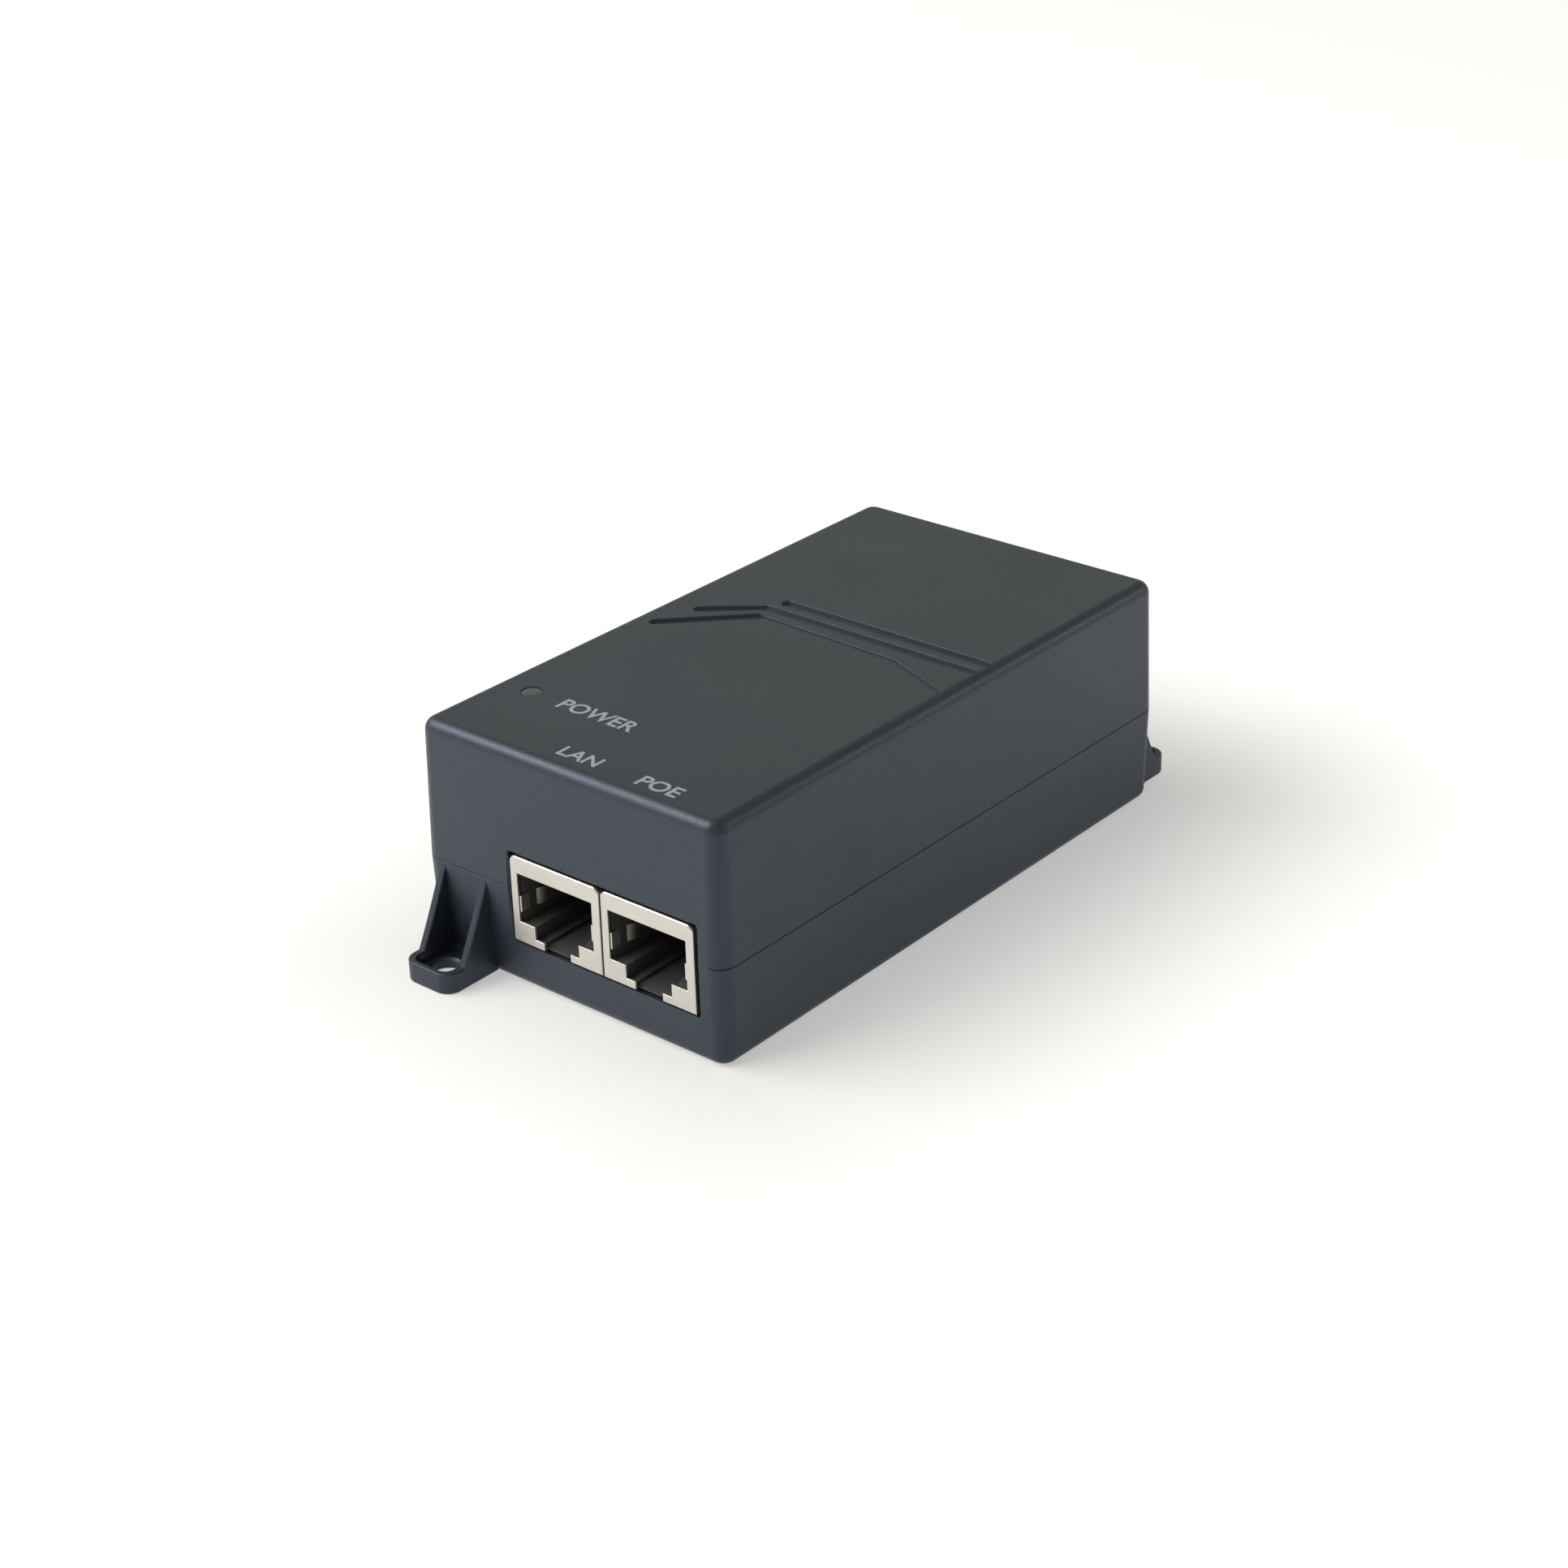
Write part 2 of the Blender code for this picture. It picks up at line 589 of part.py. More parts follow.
def make_shield(prefix, centre_x):
    """Sheet shield, open underneath, whose front frames the plug opening."""
    half_width = JACK_WIDTH / 2
    back = FRONT + JACK_DEPTH
    outer = arch_outline(centre_x, half_width, JACK_BOTTOM, JACK_TOP, SHIELD_CORNER)
    shield = prism_object(f"{prefix}_jack_shield", outer, "Y", FRONT, back, "shield")
    inner = arch_outline(
        centre_x, half_width - SHEET, JACK_BOTTOM - MM, JACK_TOP - SHEET, SHIELD_CORNER - SHEET)
    combine(shield, prism_object("hollow", inner, "Y", FRONT + SHEET, back - SHEET, "shield"), "DIFFERENCE")
    window = plug_outline(centre_x, WINDOW_HALF_WIDTH, JACK_BOTTOM - MM)
    combine(shield, prism_object("window", window, "Y", FRONT - MM, FRONT + MM, "shield"), "DIFFERENCE")


def make_housing(prefix, centre_x):
    """Plastic body with the plug cavity and, above it, the slot for the contact insert."""
    half_width = JACK_WIDTH / 2 - SHEET - CLEARANCE
    top = JACK_TOP - SHEET - CLEARANCE
    back = HOUSING_FRONT + HOUSING_DEPTH
    low = (centre_x - half_width, HOUSING_FRONT, JACK_BOTTOM)
    high = (centre_x + half_width, back, top)
    housing = box_object(f"{prefix}_jack_housing", low, high, "jack_plastic")
    cavity = prism_object(
        "cavity", plug_outline(centre_x, PLUG_HALF_WIDTH, KEY_BOTTOM), "Y", HOUSING_FRONT - MM,
        HOUSING_FRONT + PLUG_DEPTH, "jack_plastic")
    combine(housing, cavity, "DIFFERENCE")
    slot_half = INSERT_HALF_WIDTH + CLEARANCE
    slot_front = HOUSING_FRONT + 1.6 * MM
    slot_low = (centre_x - slot_half, slot_front, PLUG_TOP - 0.1 * MM)
    slot_high = (centre_x + slot_half, back + MM, top + MM)
    combine(housing, box_object("slot", slot_low, slot_high, "jack_plastic"), "DIFFERENCE")


def make_insert(prefix, centre_x):
    """Contact carrier: a slab over the plug cavity that turns down behind the housing."""
    top = JACK_TOP - SHEET - 2 * CLEARANCE
    slab_bottom = PLUG_TOP + CLEARANCE
    drop_front = HOUSING_FRONT + HOUSING_DEPTH + CLEARANCE
    outline = [
        (INSERT_FRONT, slab_bottom),
        (drop_front, slab_bottom),
        (drop_front, JACK_BOTTOM),
        (INSERT_BACK, JACK_BOTTOM),
        (INSERT_BACK, top),
        (INSERT_FRONT, top),
    ]
    left = centre_x - INSERT_HALF_WIDTH
    right = centre_x + INSERT_HALF_WIDTH
    prism_object(f"{prefix}_jack_insert", outline, "X", left, right, "jack_plastic")


def contact_path():
    """Side view of a contact's middle line, as (y, z) from the bend's axis: root, bend, arm, tip."""
    points = [(CONTACT_ROOT, BEND_RADIUS)]
    steps = 5
    sweep = math.pi - CONTACT_SLOPE
    for step in range(steps + 1):
        angle = math.pi / 2 + sweep * step / steps
        points.append((BEND_RADIUS * math.cos(angle), BEND_RADIUS * math.sin(angle)))
    start_y, start_z = points[-1]
    points.append((start_y + CONTACT_LENGTH * math.cos(CONTACT_SLOPE),
                   start_z - CONTACT_LENGTH * math.sin(CONTACT_SLOPE)))
    return points


def make_contacts(prefix, centre_x):
    """Eight spring contacts side by side, each with its origin on the bend's axis."""
    outline = strip_outline(contact_path(), CONTACT_THICKNESS)
    for index in range(CONTACT_COUNT):
        bm = bmesh.new()
        prism_mesh(bm, outline, "X", -CONTACT_WIDTH / 2, CONTACT_WIDTH / 2)
        contact = add_object(f"{prefix}_contact_{index + 1}", bm, "gold")
        offset = (index - (CONTACT_COUNT - 1) / 2) * CONTACT_PITCH
        contact.location = (centre_x + offset, BEND_Y, BEND_Z)


def make_jack(prefix, centre_x):
    make_shield(prefix, centre_x)
    make_housing(prefix, centre_x)
    make_insert(prefix, centre_x)
    make_contacts(prefix, centre_x)


def mouth_outline(width, height):
    """Front view of the inlet's cavity: a rectangle with its two upper corners cut off."""
    left = INLET_X - width / 2
    right = INLET_X + width / 2
    bottom = INLET_Z - height / 2
    top = INLET_Z + height / 2
    return [
        (left, bottom),
        (right, bottom),
        (right, top - INLET_CHAMFER),
        (right - INLET_CHAMFER, top),
        (left + INLET_CHAMFER, top),
        (left, top - INLET_CHAMFER),
    ]


def make_inlet():
    back = INLET_FACE - INLET_DEPTH - INLET_END
    low = (INLET_X - INLET_BODY[0] / 2, back, INLET_Z - INLET_BODY[1] / 2)
    high = (INLET_X + INLET_BODY[0] / 2, INLET_FACE - 0.4 * MM, INLET_Z + INLET_BODY[1] / 2)
    housing = box_object("inlet_housing", low, high, "jack_plastic")
    rim = rounded_rectangle(*INLET_FLANGE, FLANGE_CORNER, 3, (INLET_X, INLET_Z))
    flange = prism_object("flange", rim, "Y", INLET_FACE - FLANGE_THICKNESS, INLET_FACE, "jack_plastic")
    combine(housing, flange, "UNION")
    mouth = mouth_outline(*INLET_MOUTH)
    cavity = prism_object("cavity", mouth, "Y", INLET_FACE - INLET_DEPTH, INLET_FACE + MM, "jack_plastic")
    combine(housing, cavity, "DIFFERENCE")
    slots = bmesh.new()
    for offset_x, offset_z in PIN_PLACES.values():
        half_x = PIN_SECTION[0] / 2 + CLEARANCE
        half_z = PIN_SECTION[1] / 2 + CLEARANCE
        centre_x = INLET_X + offset_x
        centre_z = INLET_Z + offset_z
        slot_low = (centre_x - half_x, back - MM, centre_z - half_z)
        slot_high = (centre_x + half_x, INLET_FACE - INLET_DEPTH + MM, centre_z + half_z)
        box_mesh(slots, slot_low, slot_high)
    combine(housing, add_object("pin_slots", slots, "jack_plastic"), "DIFFERENCE")


def make_inlet_pins():
    """Flat blades whose tails turn down to the board behind the inlet."""
    for name, (offset_x, offset_z) in PIN_PLACES.items():
        centre_x = INLET_X + offset_x
        low_z = INLET_Z + offset_z - PIN_SECTION[1] / 2
        high_z = INLET_Z + offset_z + PIN_SECTION[1] / 2
        tip = INLET_FACE - PIN_RECESS
        tail_front = PIN_TAIL_BACK + PIN_TAIL
        lead = 0.5 * MM
        outline = [
            (PIN_TAIL_BACK, SEAT),
            (tail_front, SEAT),
            (tail_front, low_z),
            (tip - 2 * lead, low_z),
            (tip, low_z + lead),
            (tip, high_z - lead),
            (tip - 2 * lead, high_z),
            (PIN_TAIL_BACK, high_z),
        ]
        left = centre_x - PIN_SECTION[0] / 2
        right = centre_x + PIN_SECTION[0] / 2
        prism_object(f"inlet_{name}_pin", outline, "X", left, right, "brass")


def can(name, centre, radius, height, slot):
    """Upright can with rounded ends, such as an electrolytic capacitor."""
    edge = 0.6 * MM
    top = SEAT + height
    profile = [
        (0.0, SEAT),
        (radius - edge, SEAT),
        (radius, SEAT + edge),
        (radius, SEAT + 2.2 * edge),
        (radius - 0.5 * edge, SEAT + 3.2 * edge),
        (radius, SEAT + 4.2 * edge),
        (radius, top - edge),
        (radius - edge, top),
        (0.0, top),
    ]
    return turned_object(name, profile, centre, slot)


def leaded_disc(name, centre, radius, thickness, across, slot):
    """Disc stood on edge on two wire leads. `across` is the axis through its faces, X or Y."""
    lift = 1.4 * MM
    middle = SEAT + lift + radius
    bm = bmesh.new()
    bmesh.ops.create_cone(
        bm, cap_ends=True, segments=20, radius1=radius, radius2=radius, depth=thickness)
    bmesh.ops.bevel(
        bm, geom=[edge for edge in bm.edges if abs(edge.verts[0].co.z - edge.verts[1].co.z) < 1e-7],
        offset=thickness * 0.25, segments=1, affect="EDGES")
    turn = Matrix.Rotation(math.pi / 2, 4, "Y" if across == "X" else "X")
    bmesh.ops.transform(bm, matrix=Matrix.Translation((*centre, middle)) @ turn, verts=bm.verts)
    disc = add_object(name, bm, slot, smooth=True)
    half = 0.35 * MM
    for side in (-1, 1):
        shift = side * radius * 0.55
        x, y = (centre[0], centre[1] + shift) if across == "X" else (centre[0] + shift, centre[1])
        lead = box_object("lead", (x - half, y - half, SEAT), (x + half, y + half, middle), slot)
        combine(disc, lead, "UNION")
    return disc


def legged_package(name, centre, size, slot, leg_rows, legs):
    """Moulded package on two rows of short legs, such as a chip. `size` is X, Y, Z over the body."""
    stand = 0.5 * MM
    half = [value / 2 for value in size]
    low = (centre[0] - half[0], centre[1] - half[1], SEAT + stand)
    high = (centre[0] + half[0], centre[1] + half[1], SEAT + stand + size[2])
    package = box_object(name, low, high, slot)
    foot = 0.5 * MM
    for row in (-1, 1):
        for leg in range(legs):
            along = (leg - (legs - 1) / 2) * (2 * half[0 if leg_rows == "Y" else 1] / legs)
            across = row * (half[1 if leg_rows == "Y" else 0] - foot)
            x, y = (along, across) if leg_rows == "Y" else (across, along)
            x += centre[0]
            y += centre[1]
            size_x, size_y = (foot / 2, foot * 1.4) if leg_rows == "Y" else (foot * 1.4, foot / 2)
            piece = box_object(
                "leg", (x - size_x, y - size_y, SEAT), (x + size_x, y + size_y, SEAT + 2 * stand), slot)
            combine(package, piece, "UNION")
    return package


def power_package(name, face_x, inward, centre_y, slot):
    """Three-legged power package stood against a heatsink whose face is at face_x."""
    thickness = 4.4 * MM
    half_width = 5.0 * MM
    height = 9.2 * MM
    tab_thickness = 1.2 * MM
    tab_half_width = 4.9 * MM
    tab_rise = 6.0 * MM
    overlap = 1.2 * MM
    leg_pitch = 2.54 * MM
    leg_half = 0.4 * MM
    near = face_x + inward * CLEARANCE
    bottom = SEAT + 4.0 * MM
    top = bottom + height
    xs = sorted((near, near + inward * thickness))
    package = box_object(
        name, (xs[0], centre_y - half_width, bottom), (xs[1], centre_y + half_width, top), slot)
    tab_xs = sorted((near, near + inward * tab_thickness))
    tab_low = (tab_xs[0], centre_y - tab_half_width, top - overlap)
    tab_high = (tab_xs[1], centre_y + tab_half_width, top + tab_rise)
    combine(package, box_object("tab", tab_low, tab_high, slot), "UNION")
    middle = near + inward * (tab_thickness + thickness) / 2
    for step in (-1, 0, 1):
        y = centre_y + step * leg_pitch
        leg_low = (middle - leg_half, y - leg_half, SEAT)
        leg_high = (middle + leg_half, y + leg_half, bottom + overlap)
        combine(package, box_object("leg", leg_low, leg_high, slot), "UNION")
    return package


def heatsink(name, outer_x, inward, low_y, high_y, height):
    """Bent aluminium plate: an upright wall with a short shelf turned inwards along its top."""
    wall = 1.5 * MM
    shelf = 4.0 * MM
    top = SEAT + height
    outline = [
        (outer_x, SEAT),
        (outer_x + inward * wall, SEAT),
        (outer_x + inward * wall, top - wall),
        (outer_x + inward * shelf, top - wall),
        (outer_x + inward * shelf, top),
        (outer_x, top),
    ]
    return prism_object(name, outline, "Y", low_y, high_y, "aluminium")


def wound_core(prefix, centre, size, leg, window, winding_reach, winding_slot):
    """Ferrite core with two windows, and the winding round its middle leg.

    size is the core over X, Y and Z; leg is the middle leg's width; window is one window's width
    and height; winding_reach is how far the winding stands out in front of and behind the core.
    """
    bottom = SEAT
    low = (centre[0] - size[0] / 2, centre[1] - size[1] / 2, bottom)
    high = (centre[0] + size[0] / 2, centre[1] + size[1] / 2, bottom + size[2])
    core = box_object(f"{prefix}_core", low, high, "ferrite")
    middle_z = bottom + size[2] / 2
    for side in (-1, 1):
        near = centre[0] + side * leg / 2
        xs = sorted((near, near + side * window[0]))
        window_low = (xs[0], low[1] - MM, middle_z - window[1] / 2)
        window_high = (xs[1], high[1] + MM, middle_z + window[1] / 2)
        combine(core, box_object("window", window_low, window_high, "ferrite"), "DIFFERENCE")
    half_x = leg / 2 + window[0] - CLEARANCE
    half_y = size[1] / 2 + winding_reach
    half_z = window[1] / 2 - CLEARANCE
    corner = min(half_x, half_y) * 0.5
    outline = rounded_rectangle(2 * half_x, 2 * half_y, corner, 4, centre)
    winding = prism_object(
        f"{prefix}_winding", outline, "Z", middle_z - half_z, middle_z + half_z, winding_slot)
    bore_x = leg / 2 + CLEARANCE
    bore_y = size[1] / 2 + CLEARANCE
    bore = box_object(
        "bore", (centre[0] - bore_x, centre[1] - bore_y, bottom - MM),
        (centre[0] + bore_x, centre[1] + bore_y, high[2] + MM), winding_slot)
    combine(winding, bore, "DIFFERENCE")


def block_component(name, centre, size, slot, bevel):
    half_x = size[0] / 2
    half_y = size[1] / 2
    low = (centre[0] - half_x, centre[1] - half_y, SEAT)
    high = (centre[0] + half_x, centre[1] + half_y, SEAT + size[2])
    return box_object(name, low, high, slot, bevel)


def make_mains_side():
    can("fuse", centre=(15.9 * MM, 34.0 * MM), radius=4.2 * MM, height=7.6 * MM, slot="epoxy")
    leaded_disc(
        "varistor", centre=(17.0 * MM, 26.5 * MM), radius=4.5 * MM, thickness=3.8 * MM, across="Y",
        slot="blue_disc")
    leaded_disc(
        "thermistor", centre=(20.2 * MM, 18.6 * MM), radius=3.8 * MM, thickness=3.0 * MM, across="X",
        slot="green_disc")
    block_component(
        "x_capacitor", centre=(-12.5 * MM, 20.4 * MM), size=(17.5 * MM, 8.4 * MM, 14.5 * MM),
        slot="yellow_box", bevel=0.5 * MM)
    wound_core(
        "choke", centre=(7.6 * MM, 20.0 * MM), size=(16.0 * MM, 4.4 * MM, 17.0 * MM), leg=4.0 * MM,
        window=(3.4 * MM, 11.0 * MM), winding_reach=1.9 * MM, winding_slot="copper")
    block_component(
        "bridge_rectifier", centre=(-14.0 * MM, 12.4 * MM), size=(14.4 * MM, 3.4 * MM, 10.5 * MM),
        slot="epoxy", bevel=0.4 * MM)
    can("bulk_capacitor", centre=(14.6 * MM, 6.0 * MM), radius=7.0 * MM, height=22.0 * MM, slot="can")
    heatsink(
        "primary_heatsink", outer_x=-22.2 * MM, inward=1, low_y=-8.0 * MM, high_y=8.5 * MM,
        height=21.5 * MM)
    power_package("switching_transistor", face_x=-20.7 * MM, inward=1, centre_y=0.0, slot="epoxy")
    legged_package(
        "pwm_controller", centre=(0.6 * MM, 9.6 * MM), size=(9.4 * MM, 6.4 * MM, 3.2 * MM),
        slot="epoxy", leg_rows="Y", legs=4)


def make_isolation():
    wound_core(
        "transformer", centre=(-2.5 * MM, -6.0 * MM), size=(22.0 * MM, 6.4 * MM, 20.0 * MM),
        leg=5.5 * MM, window=(5.2 * MM, 13.0 * MM), winding_reach=5.0 * MM, winding_slot="tape")
    legged_package(
        "optocoupler", centre=(-14.4 * MM, -12.4 * MM), size=(4.6 * MM, 6.4 * MM, 3.4 * MM),
        slot="epoxy", leg_rows="X", legs=2)
    leaded_disc(
        "y_capacitor", centre=(-13.4 * MM, 6.9 * MM), radius=3.6 * MM, thickness=2.6 * MM, across="Y",
        slot="blue_disc")


def make_output_side():
    heatsink(
        "secondary_heatsink", outer_x=22.2 * MM, inward=-1, low_y=-17.5 * MM, high_y=-3.0 * MM,
        height=21.5 * MM)
    power_package("output_rectifier", face_x=20.7 * MM, inward=-1, centre_y=-10.2 * MM, slot="epoxy")
    can("output_capacitor_1", centre=(-16.8 * MM, -21.0 * MM), radius=5.0 * MM, height=18.0 * MM, slot="can")
    can("output_capacitor_2", centre=(-5.4 * MM, -20.4 * MM), radius=5.0 * MM, height=18.0 * MM, slot="can")
    can("output_inductor", centre=(12.0 * MM, -11.5 * MM), radius=3.2 * MM, height=8.5 * MM, slot="ferrite")
    legged_package(
        "poe_controller", centre=(-14.4 * MM, -37.6 * MM), size=(3.9 * MM, 9.9 * MM, 1.5 * MM),
        slot="epoxy", leg_rows="X", legs=5)
    legged_package(
        "lan_magnetics", centre=(8.9 * MM, -20.6 * MM), size=(15.2 * MM, 7.0 * MM, 5.6 * MM),
        slot="epoxy", leg_rows="Y", legs=8)


def make_status_light():
    body = 1.5 * MM
    dome_base = SEAT + 4.0 * MM
    profile = [
        (0.0, SEAT),
        (1.9 * MM, SEAT),
        (1.9 * MM, SEAT + 0.9 * MM),
        (body, SEAT + 0.9 * MM),
        (body, dome_base),
        (body * math.cos(math.pi / 6), dome_base + body * math.sin(math.pi / 6)),
        (body * math.cos(math.pi / 3), dome_base + body * math.sin(math.pi / 3)),
        (0.0, dome_base + body),
    ]
    turned_object("status_led", profile, (LIGHT_X, LIGHT_Y), "light", sides=16)
    edge = 0.2 * MM
    pipe = [
        (0.0, LIGHT_PIPE_BOTTOM),
        (LIGHT_PIPE_RADIUS, LIGHT_PIPE_BOTTOM),
        (LIGHT_PIPE_RADIUS, CASE_HEIGHT - 2 * edge),
        (LIGHT_PIPE_RADIUS - edge, CASE_HEIGHT - edge),
        (0.0, CASE_HEIGHT - edge),
    ]
    turned_object("led_light_pipe", pipe, (LIGHT_X, LIGHT_Y), "light", sides=20)


def main():
    clear_scene()
    make_top_cover()
    make_bottom_cover()
    make_case_screws()
    make_board()
    for prefix, centre_x in JACK_CENTRES.items():
        make_jack(prefix, centre_x)
    make_inlet()
    make_inlet_pins()
    make_mains_side()
    make_isolation()
    make_output_side()
    make_status_light()


main()
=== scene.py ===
"""Looks of the PoE injector: fine shells, jacks, inlet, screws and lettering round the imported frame.

Metres, +Z up, in the frame's own coordinates. Each visible piece is built here in place of its
plain CAD node and rides on that node's body; the parts inside the case keep their CAD solids.
"""
import json
import math

import bmesh
import bpy
from mathutils import Matrix, Vector

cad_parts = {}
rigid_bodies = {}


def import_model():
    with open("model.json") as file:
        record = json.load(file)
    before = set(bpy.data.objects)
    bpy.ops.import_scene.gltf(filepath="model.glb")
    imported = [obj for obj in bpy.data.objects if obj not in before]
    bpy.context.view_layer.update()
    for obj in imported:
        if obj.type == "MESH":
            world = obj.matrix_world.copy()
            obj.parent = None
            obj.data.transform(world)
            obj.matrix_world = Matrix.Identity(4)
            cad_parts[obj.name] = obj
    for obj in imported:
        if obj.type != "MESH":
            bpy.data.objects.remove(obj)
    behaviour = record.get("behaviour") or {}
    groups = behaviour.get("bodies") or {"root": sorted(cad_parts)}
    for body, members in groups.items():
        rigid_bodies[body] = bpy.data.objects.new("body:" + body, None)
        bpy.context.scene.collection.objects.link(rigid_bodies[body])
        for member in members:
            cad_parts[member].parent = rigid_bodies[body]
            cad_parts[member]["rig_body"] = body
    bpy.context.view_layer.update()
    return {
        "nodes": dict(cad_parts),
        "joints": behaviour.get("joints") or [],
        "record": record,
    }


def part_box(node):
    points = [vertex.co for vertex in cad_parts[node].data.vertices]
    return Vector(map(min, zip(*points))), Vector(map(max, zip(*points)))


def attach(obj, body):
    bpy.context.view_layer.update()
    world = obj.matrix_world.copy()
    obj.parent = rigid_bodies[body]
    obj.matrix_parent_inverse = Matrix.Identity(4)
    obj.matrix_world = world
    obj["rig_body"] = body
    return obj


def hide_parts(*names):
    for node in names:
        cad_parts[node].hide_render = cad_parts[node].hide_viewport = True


MM = 0.001
SMOOTH_ANGLE = math.radians(32.0)

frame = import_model()
cover_low, cover_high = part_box("top_cover")
base_low, base_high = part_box("bottom_cover")

# Case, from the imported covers
WIDTH = cover_high.x - cover_low.x
LENGTH = cover_high.y - cover_low.y
TOP = cover_high.z
INK = 0.025 * MM                    # the print stands this far out of the cover's face
FACE = TOP - INK
FRONT = cover_low.y
BACK = cover_high.y
CLEARANCE = 0.3 * MM
COVER_RIM = cover_low.z
BASE_RIM = COVER_RIM - CLEARANCE
TONGUE_TOP = base_high.z
WALL = 2.1 * MM
FLOOR = 2.2 * MM
CEILING = TOP - WALL
TONGUE = 1.0 * MM
CORNER = 2.6 * MM
TOP_FILLET = 1.8 * MM
BOTTOM_FILLET = 1.5 * MM
COVER_DRAFT = 0.45 * MM
BASE_DRAFT = 0.43 * MM
RIM_ROUND = 0.09 * MM
SEAM = 0.08 * MM                    # the line seen between the two covers
EDGE_ROUND = 0.22 * MM
SOFT_EDGE = 0.12 * MM
CORNER_STEPS = 12
FILLET_STEPS = 10
MARGIN = 1.0 * MM                   # how far a cutting tool stands out past what it cuts


# ---------------- mesh helpers

def make_piece(name, bm, material):
    """Turn a bmesh into an object with outward faces, smooth below SMOOTH_ANGLE."""
    bmesh.ops.recalc_face_normals(bm, faces=bm.faces)
    mesh = bpy.data.meshes.new(name)
    bm.to_mesh(mesh)
    bm.free()
    mesh.materials.append(material)
    mesh.shade_smooth()
    mesh.set_sharp_from_angle(angle=SMOOTH_ANGLE)
    piece = bpy.data.objects.new(name, mesh)
    bpy.context.scene.collection.objects.link(piece)
    return piece


def combine(piece, tool, operation):
    """Join or cut a piece with a tool solid, then drop the tool; a cut that leaves nothing is an error."""
    step = piece.modifiers.new("combine", "BOOLEAN")
    step.operation = operation
    step.object = tool
    step.solver = "EXACT"
    graph = bpy.context.evaluated_depsgraph_get()
    mesh = bpy.data.meshes.new_from_object(piece.evaluated_get(graph))
    if not mesh.polygons:
        raise RuntimeError(f"{operation} with {tool.name} left nothing of {piece.name}")
    piece.modifiers.clear()
    piece.data = mesh
    bpy.data.objects.remove(tool, do_unlink=True)


def cut(piece, tool):
    combine(piece, tool, "DIFFERENCE")


def join(piece, tool):
    combine(piece, tool, "UNION")


def finish_piece(piece, material, slot, *nodes):
    """Even out shading after the cuts, and let the piece stand for its CAD nodes."""
    mesh = piece.data
    mesh.materials.clear()
    mesh.materials.append(material)
    mesh.shade_smooth()
    mesh.set_sharp_from_angle(angle=SMOOTH_ANGLE)
    weighted = piece.modifiers.new("even shading", "WEIGHTED_NORMAL")
    weighted.keep_sharp = True
    weighted.weight = 80
    body = bpy.data.objects[nodes[0]]["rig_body"]
    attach(piece, body)
    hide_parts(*nodes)


def skin(bm, rings):
    """Join closed rings of equal length side to side, and cap the first and the last."""
    rows = [[bm.verts.new(point) for point in ring] for ring in rings]
    for row, following in zip(rows, rows[1:]):
        for index in range(len(row)):
            beside = (index + 1) % len(row)
            bm.faces.new((row[index], row[beside], following[beside], following[index]))
    bm.faces.new(rows[0])
    bm.faces.new(rows[-1])


def on_axis(axis, outline, along):
    """Lift flat points into space: axis X takes (y, z), Y takes (x, z) and Z takes (x, y)."""
    at = "XYZ".index(axis)
    return [Vector((*point[:at], along, *point[at:])) for point in outline]


def offset_outline(outline, distance):
    """Move each side of a counter-clockwise outline outwards, keeping its corners mitred."""
    if not distance:
        return [Vector(point) for point in outline]
    moved = []
    count = len(outline)
    for index in range(count):
        here = Vector(outline[index])
        before = (here - Vector(outline[index - 1])).normalized()
        after = (Vector(outline[(index + 1) % count]) - here).normalized()
        normal = Vector((before.y + after.y, -before.x - after.x)).normalized()
        reach = distance / max(normal.dot(Vector((after.y, -after.x))), 0.3)
        moved.append(here + normal * reach)
    return moved


def shaped_prism(bm, outline, axis, levels):
    """Skin an outline along an axis through (outward offset, place along the axis) levels."""
    skin(bm, [on_axis(axis, offset_outline(outline, offset), along) for offset, along in levels])


def prism_piece(name, outline, axis, levels, material):
    bm = bmesh.new()
    shaped_prism(bm, outline, axis, levels)
    return make_piece(name, bm, material)


def quarter(radius, steps):
    """(inset, depth) steps of a quarter round, from an end face round to the side."""
    angles = [math.pi / 2 * step / steps for step in range(steps + 1)]
    return [(radius * (1 - math.sin(a)), radius * (1 - math.cos(a))) for a in angles]


def block_levels(low, high, radius, steps=3):
    """Levels of a straight block whose two ends have round edges."""
    start = [(-inset, low + depth) for inset, depth in quarter(radius, steps)]
    end = [(-inset, high - depth) for inset, depth in reversed(quarter(radius, steps))]
    return start + end


def mouth_levels(face, inward, radius, steps, inner):
    """Levels of a cut whose mouth flares out round where it meets a face, down to an inner level."""
    flare = [(inset, face + inward * depth) for inset, depth in quarter(radius, steps)]
    return [(radius, face - inward * MARGIN)] + flare + [inner]


def arc(hub_u, hub_v, radius, start, turn, steps):
    """Points round a hub, from a starting angle through a turn."""
    angles = [start + turn * step / steps for step in range(steps + 1)]
    return [(hub_u + radius * math.cos(a), hub_v + radius * math.sin(a)) for a in angles]


def rounded_rectangle(width, height, radius, steps, centre=(0.0, 0.0)):
    """Counter-clockwise points of a rectangle with round corners."""
    points = []
    for corner, (side_u, side_v) in enumerate(((1, 1), (-1, 1), (-1, -1), (1, -1))):
        hub_u = centre[0] + side_u * (width / 2 - radius)
        hub_v = centre[1] + side_v * (height / 2 - radius)
        for step in range(steps + 1):
            angle = math.pi / 2 * (corner + step / steps)
            points.append((hub_u + radius * math.cos(angle), hub_v + radius * math.sin(angle)))
    return points


def add_box(bm, low, high):
    """Add a plain box between two corners."""
    place = Matrix.Translation((high + low) / 2) @ Matrix.Diagonal((*(high - low), 1.0))
    bmesh.ops.create_cube(bm, size=1.0, matrix=place)


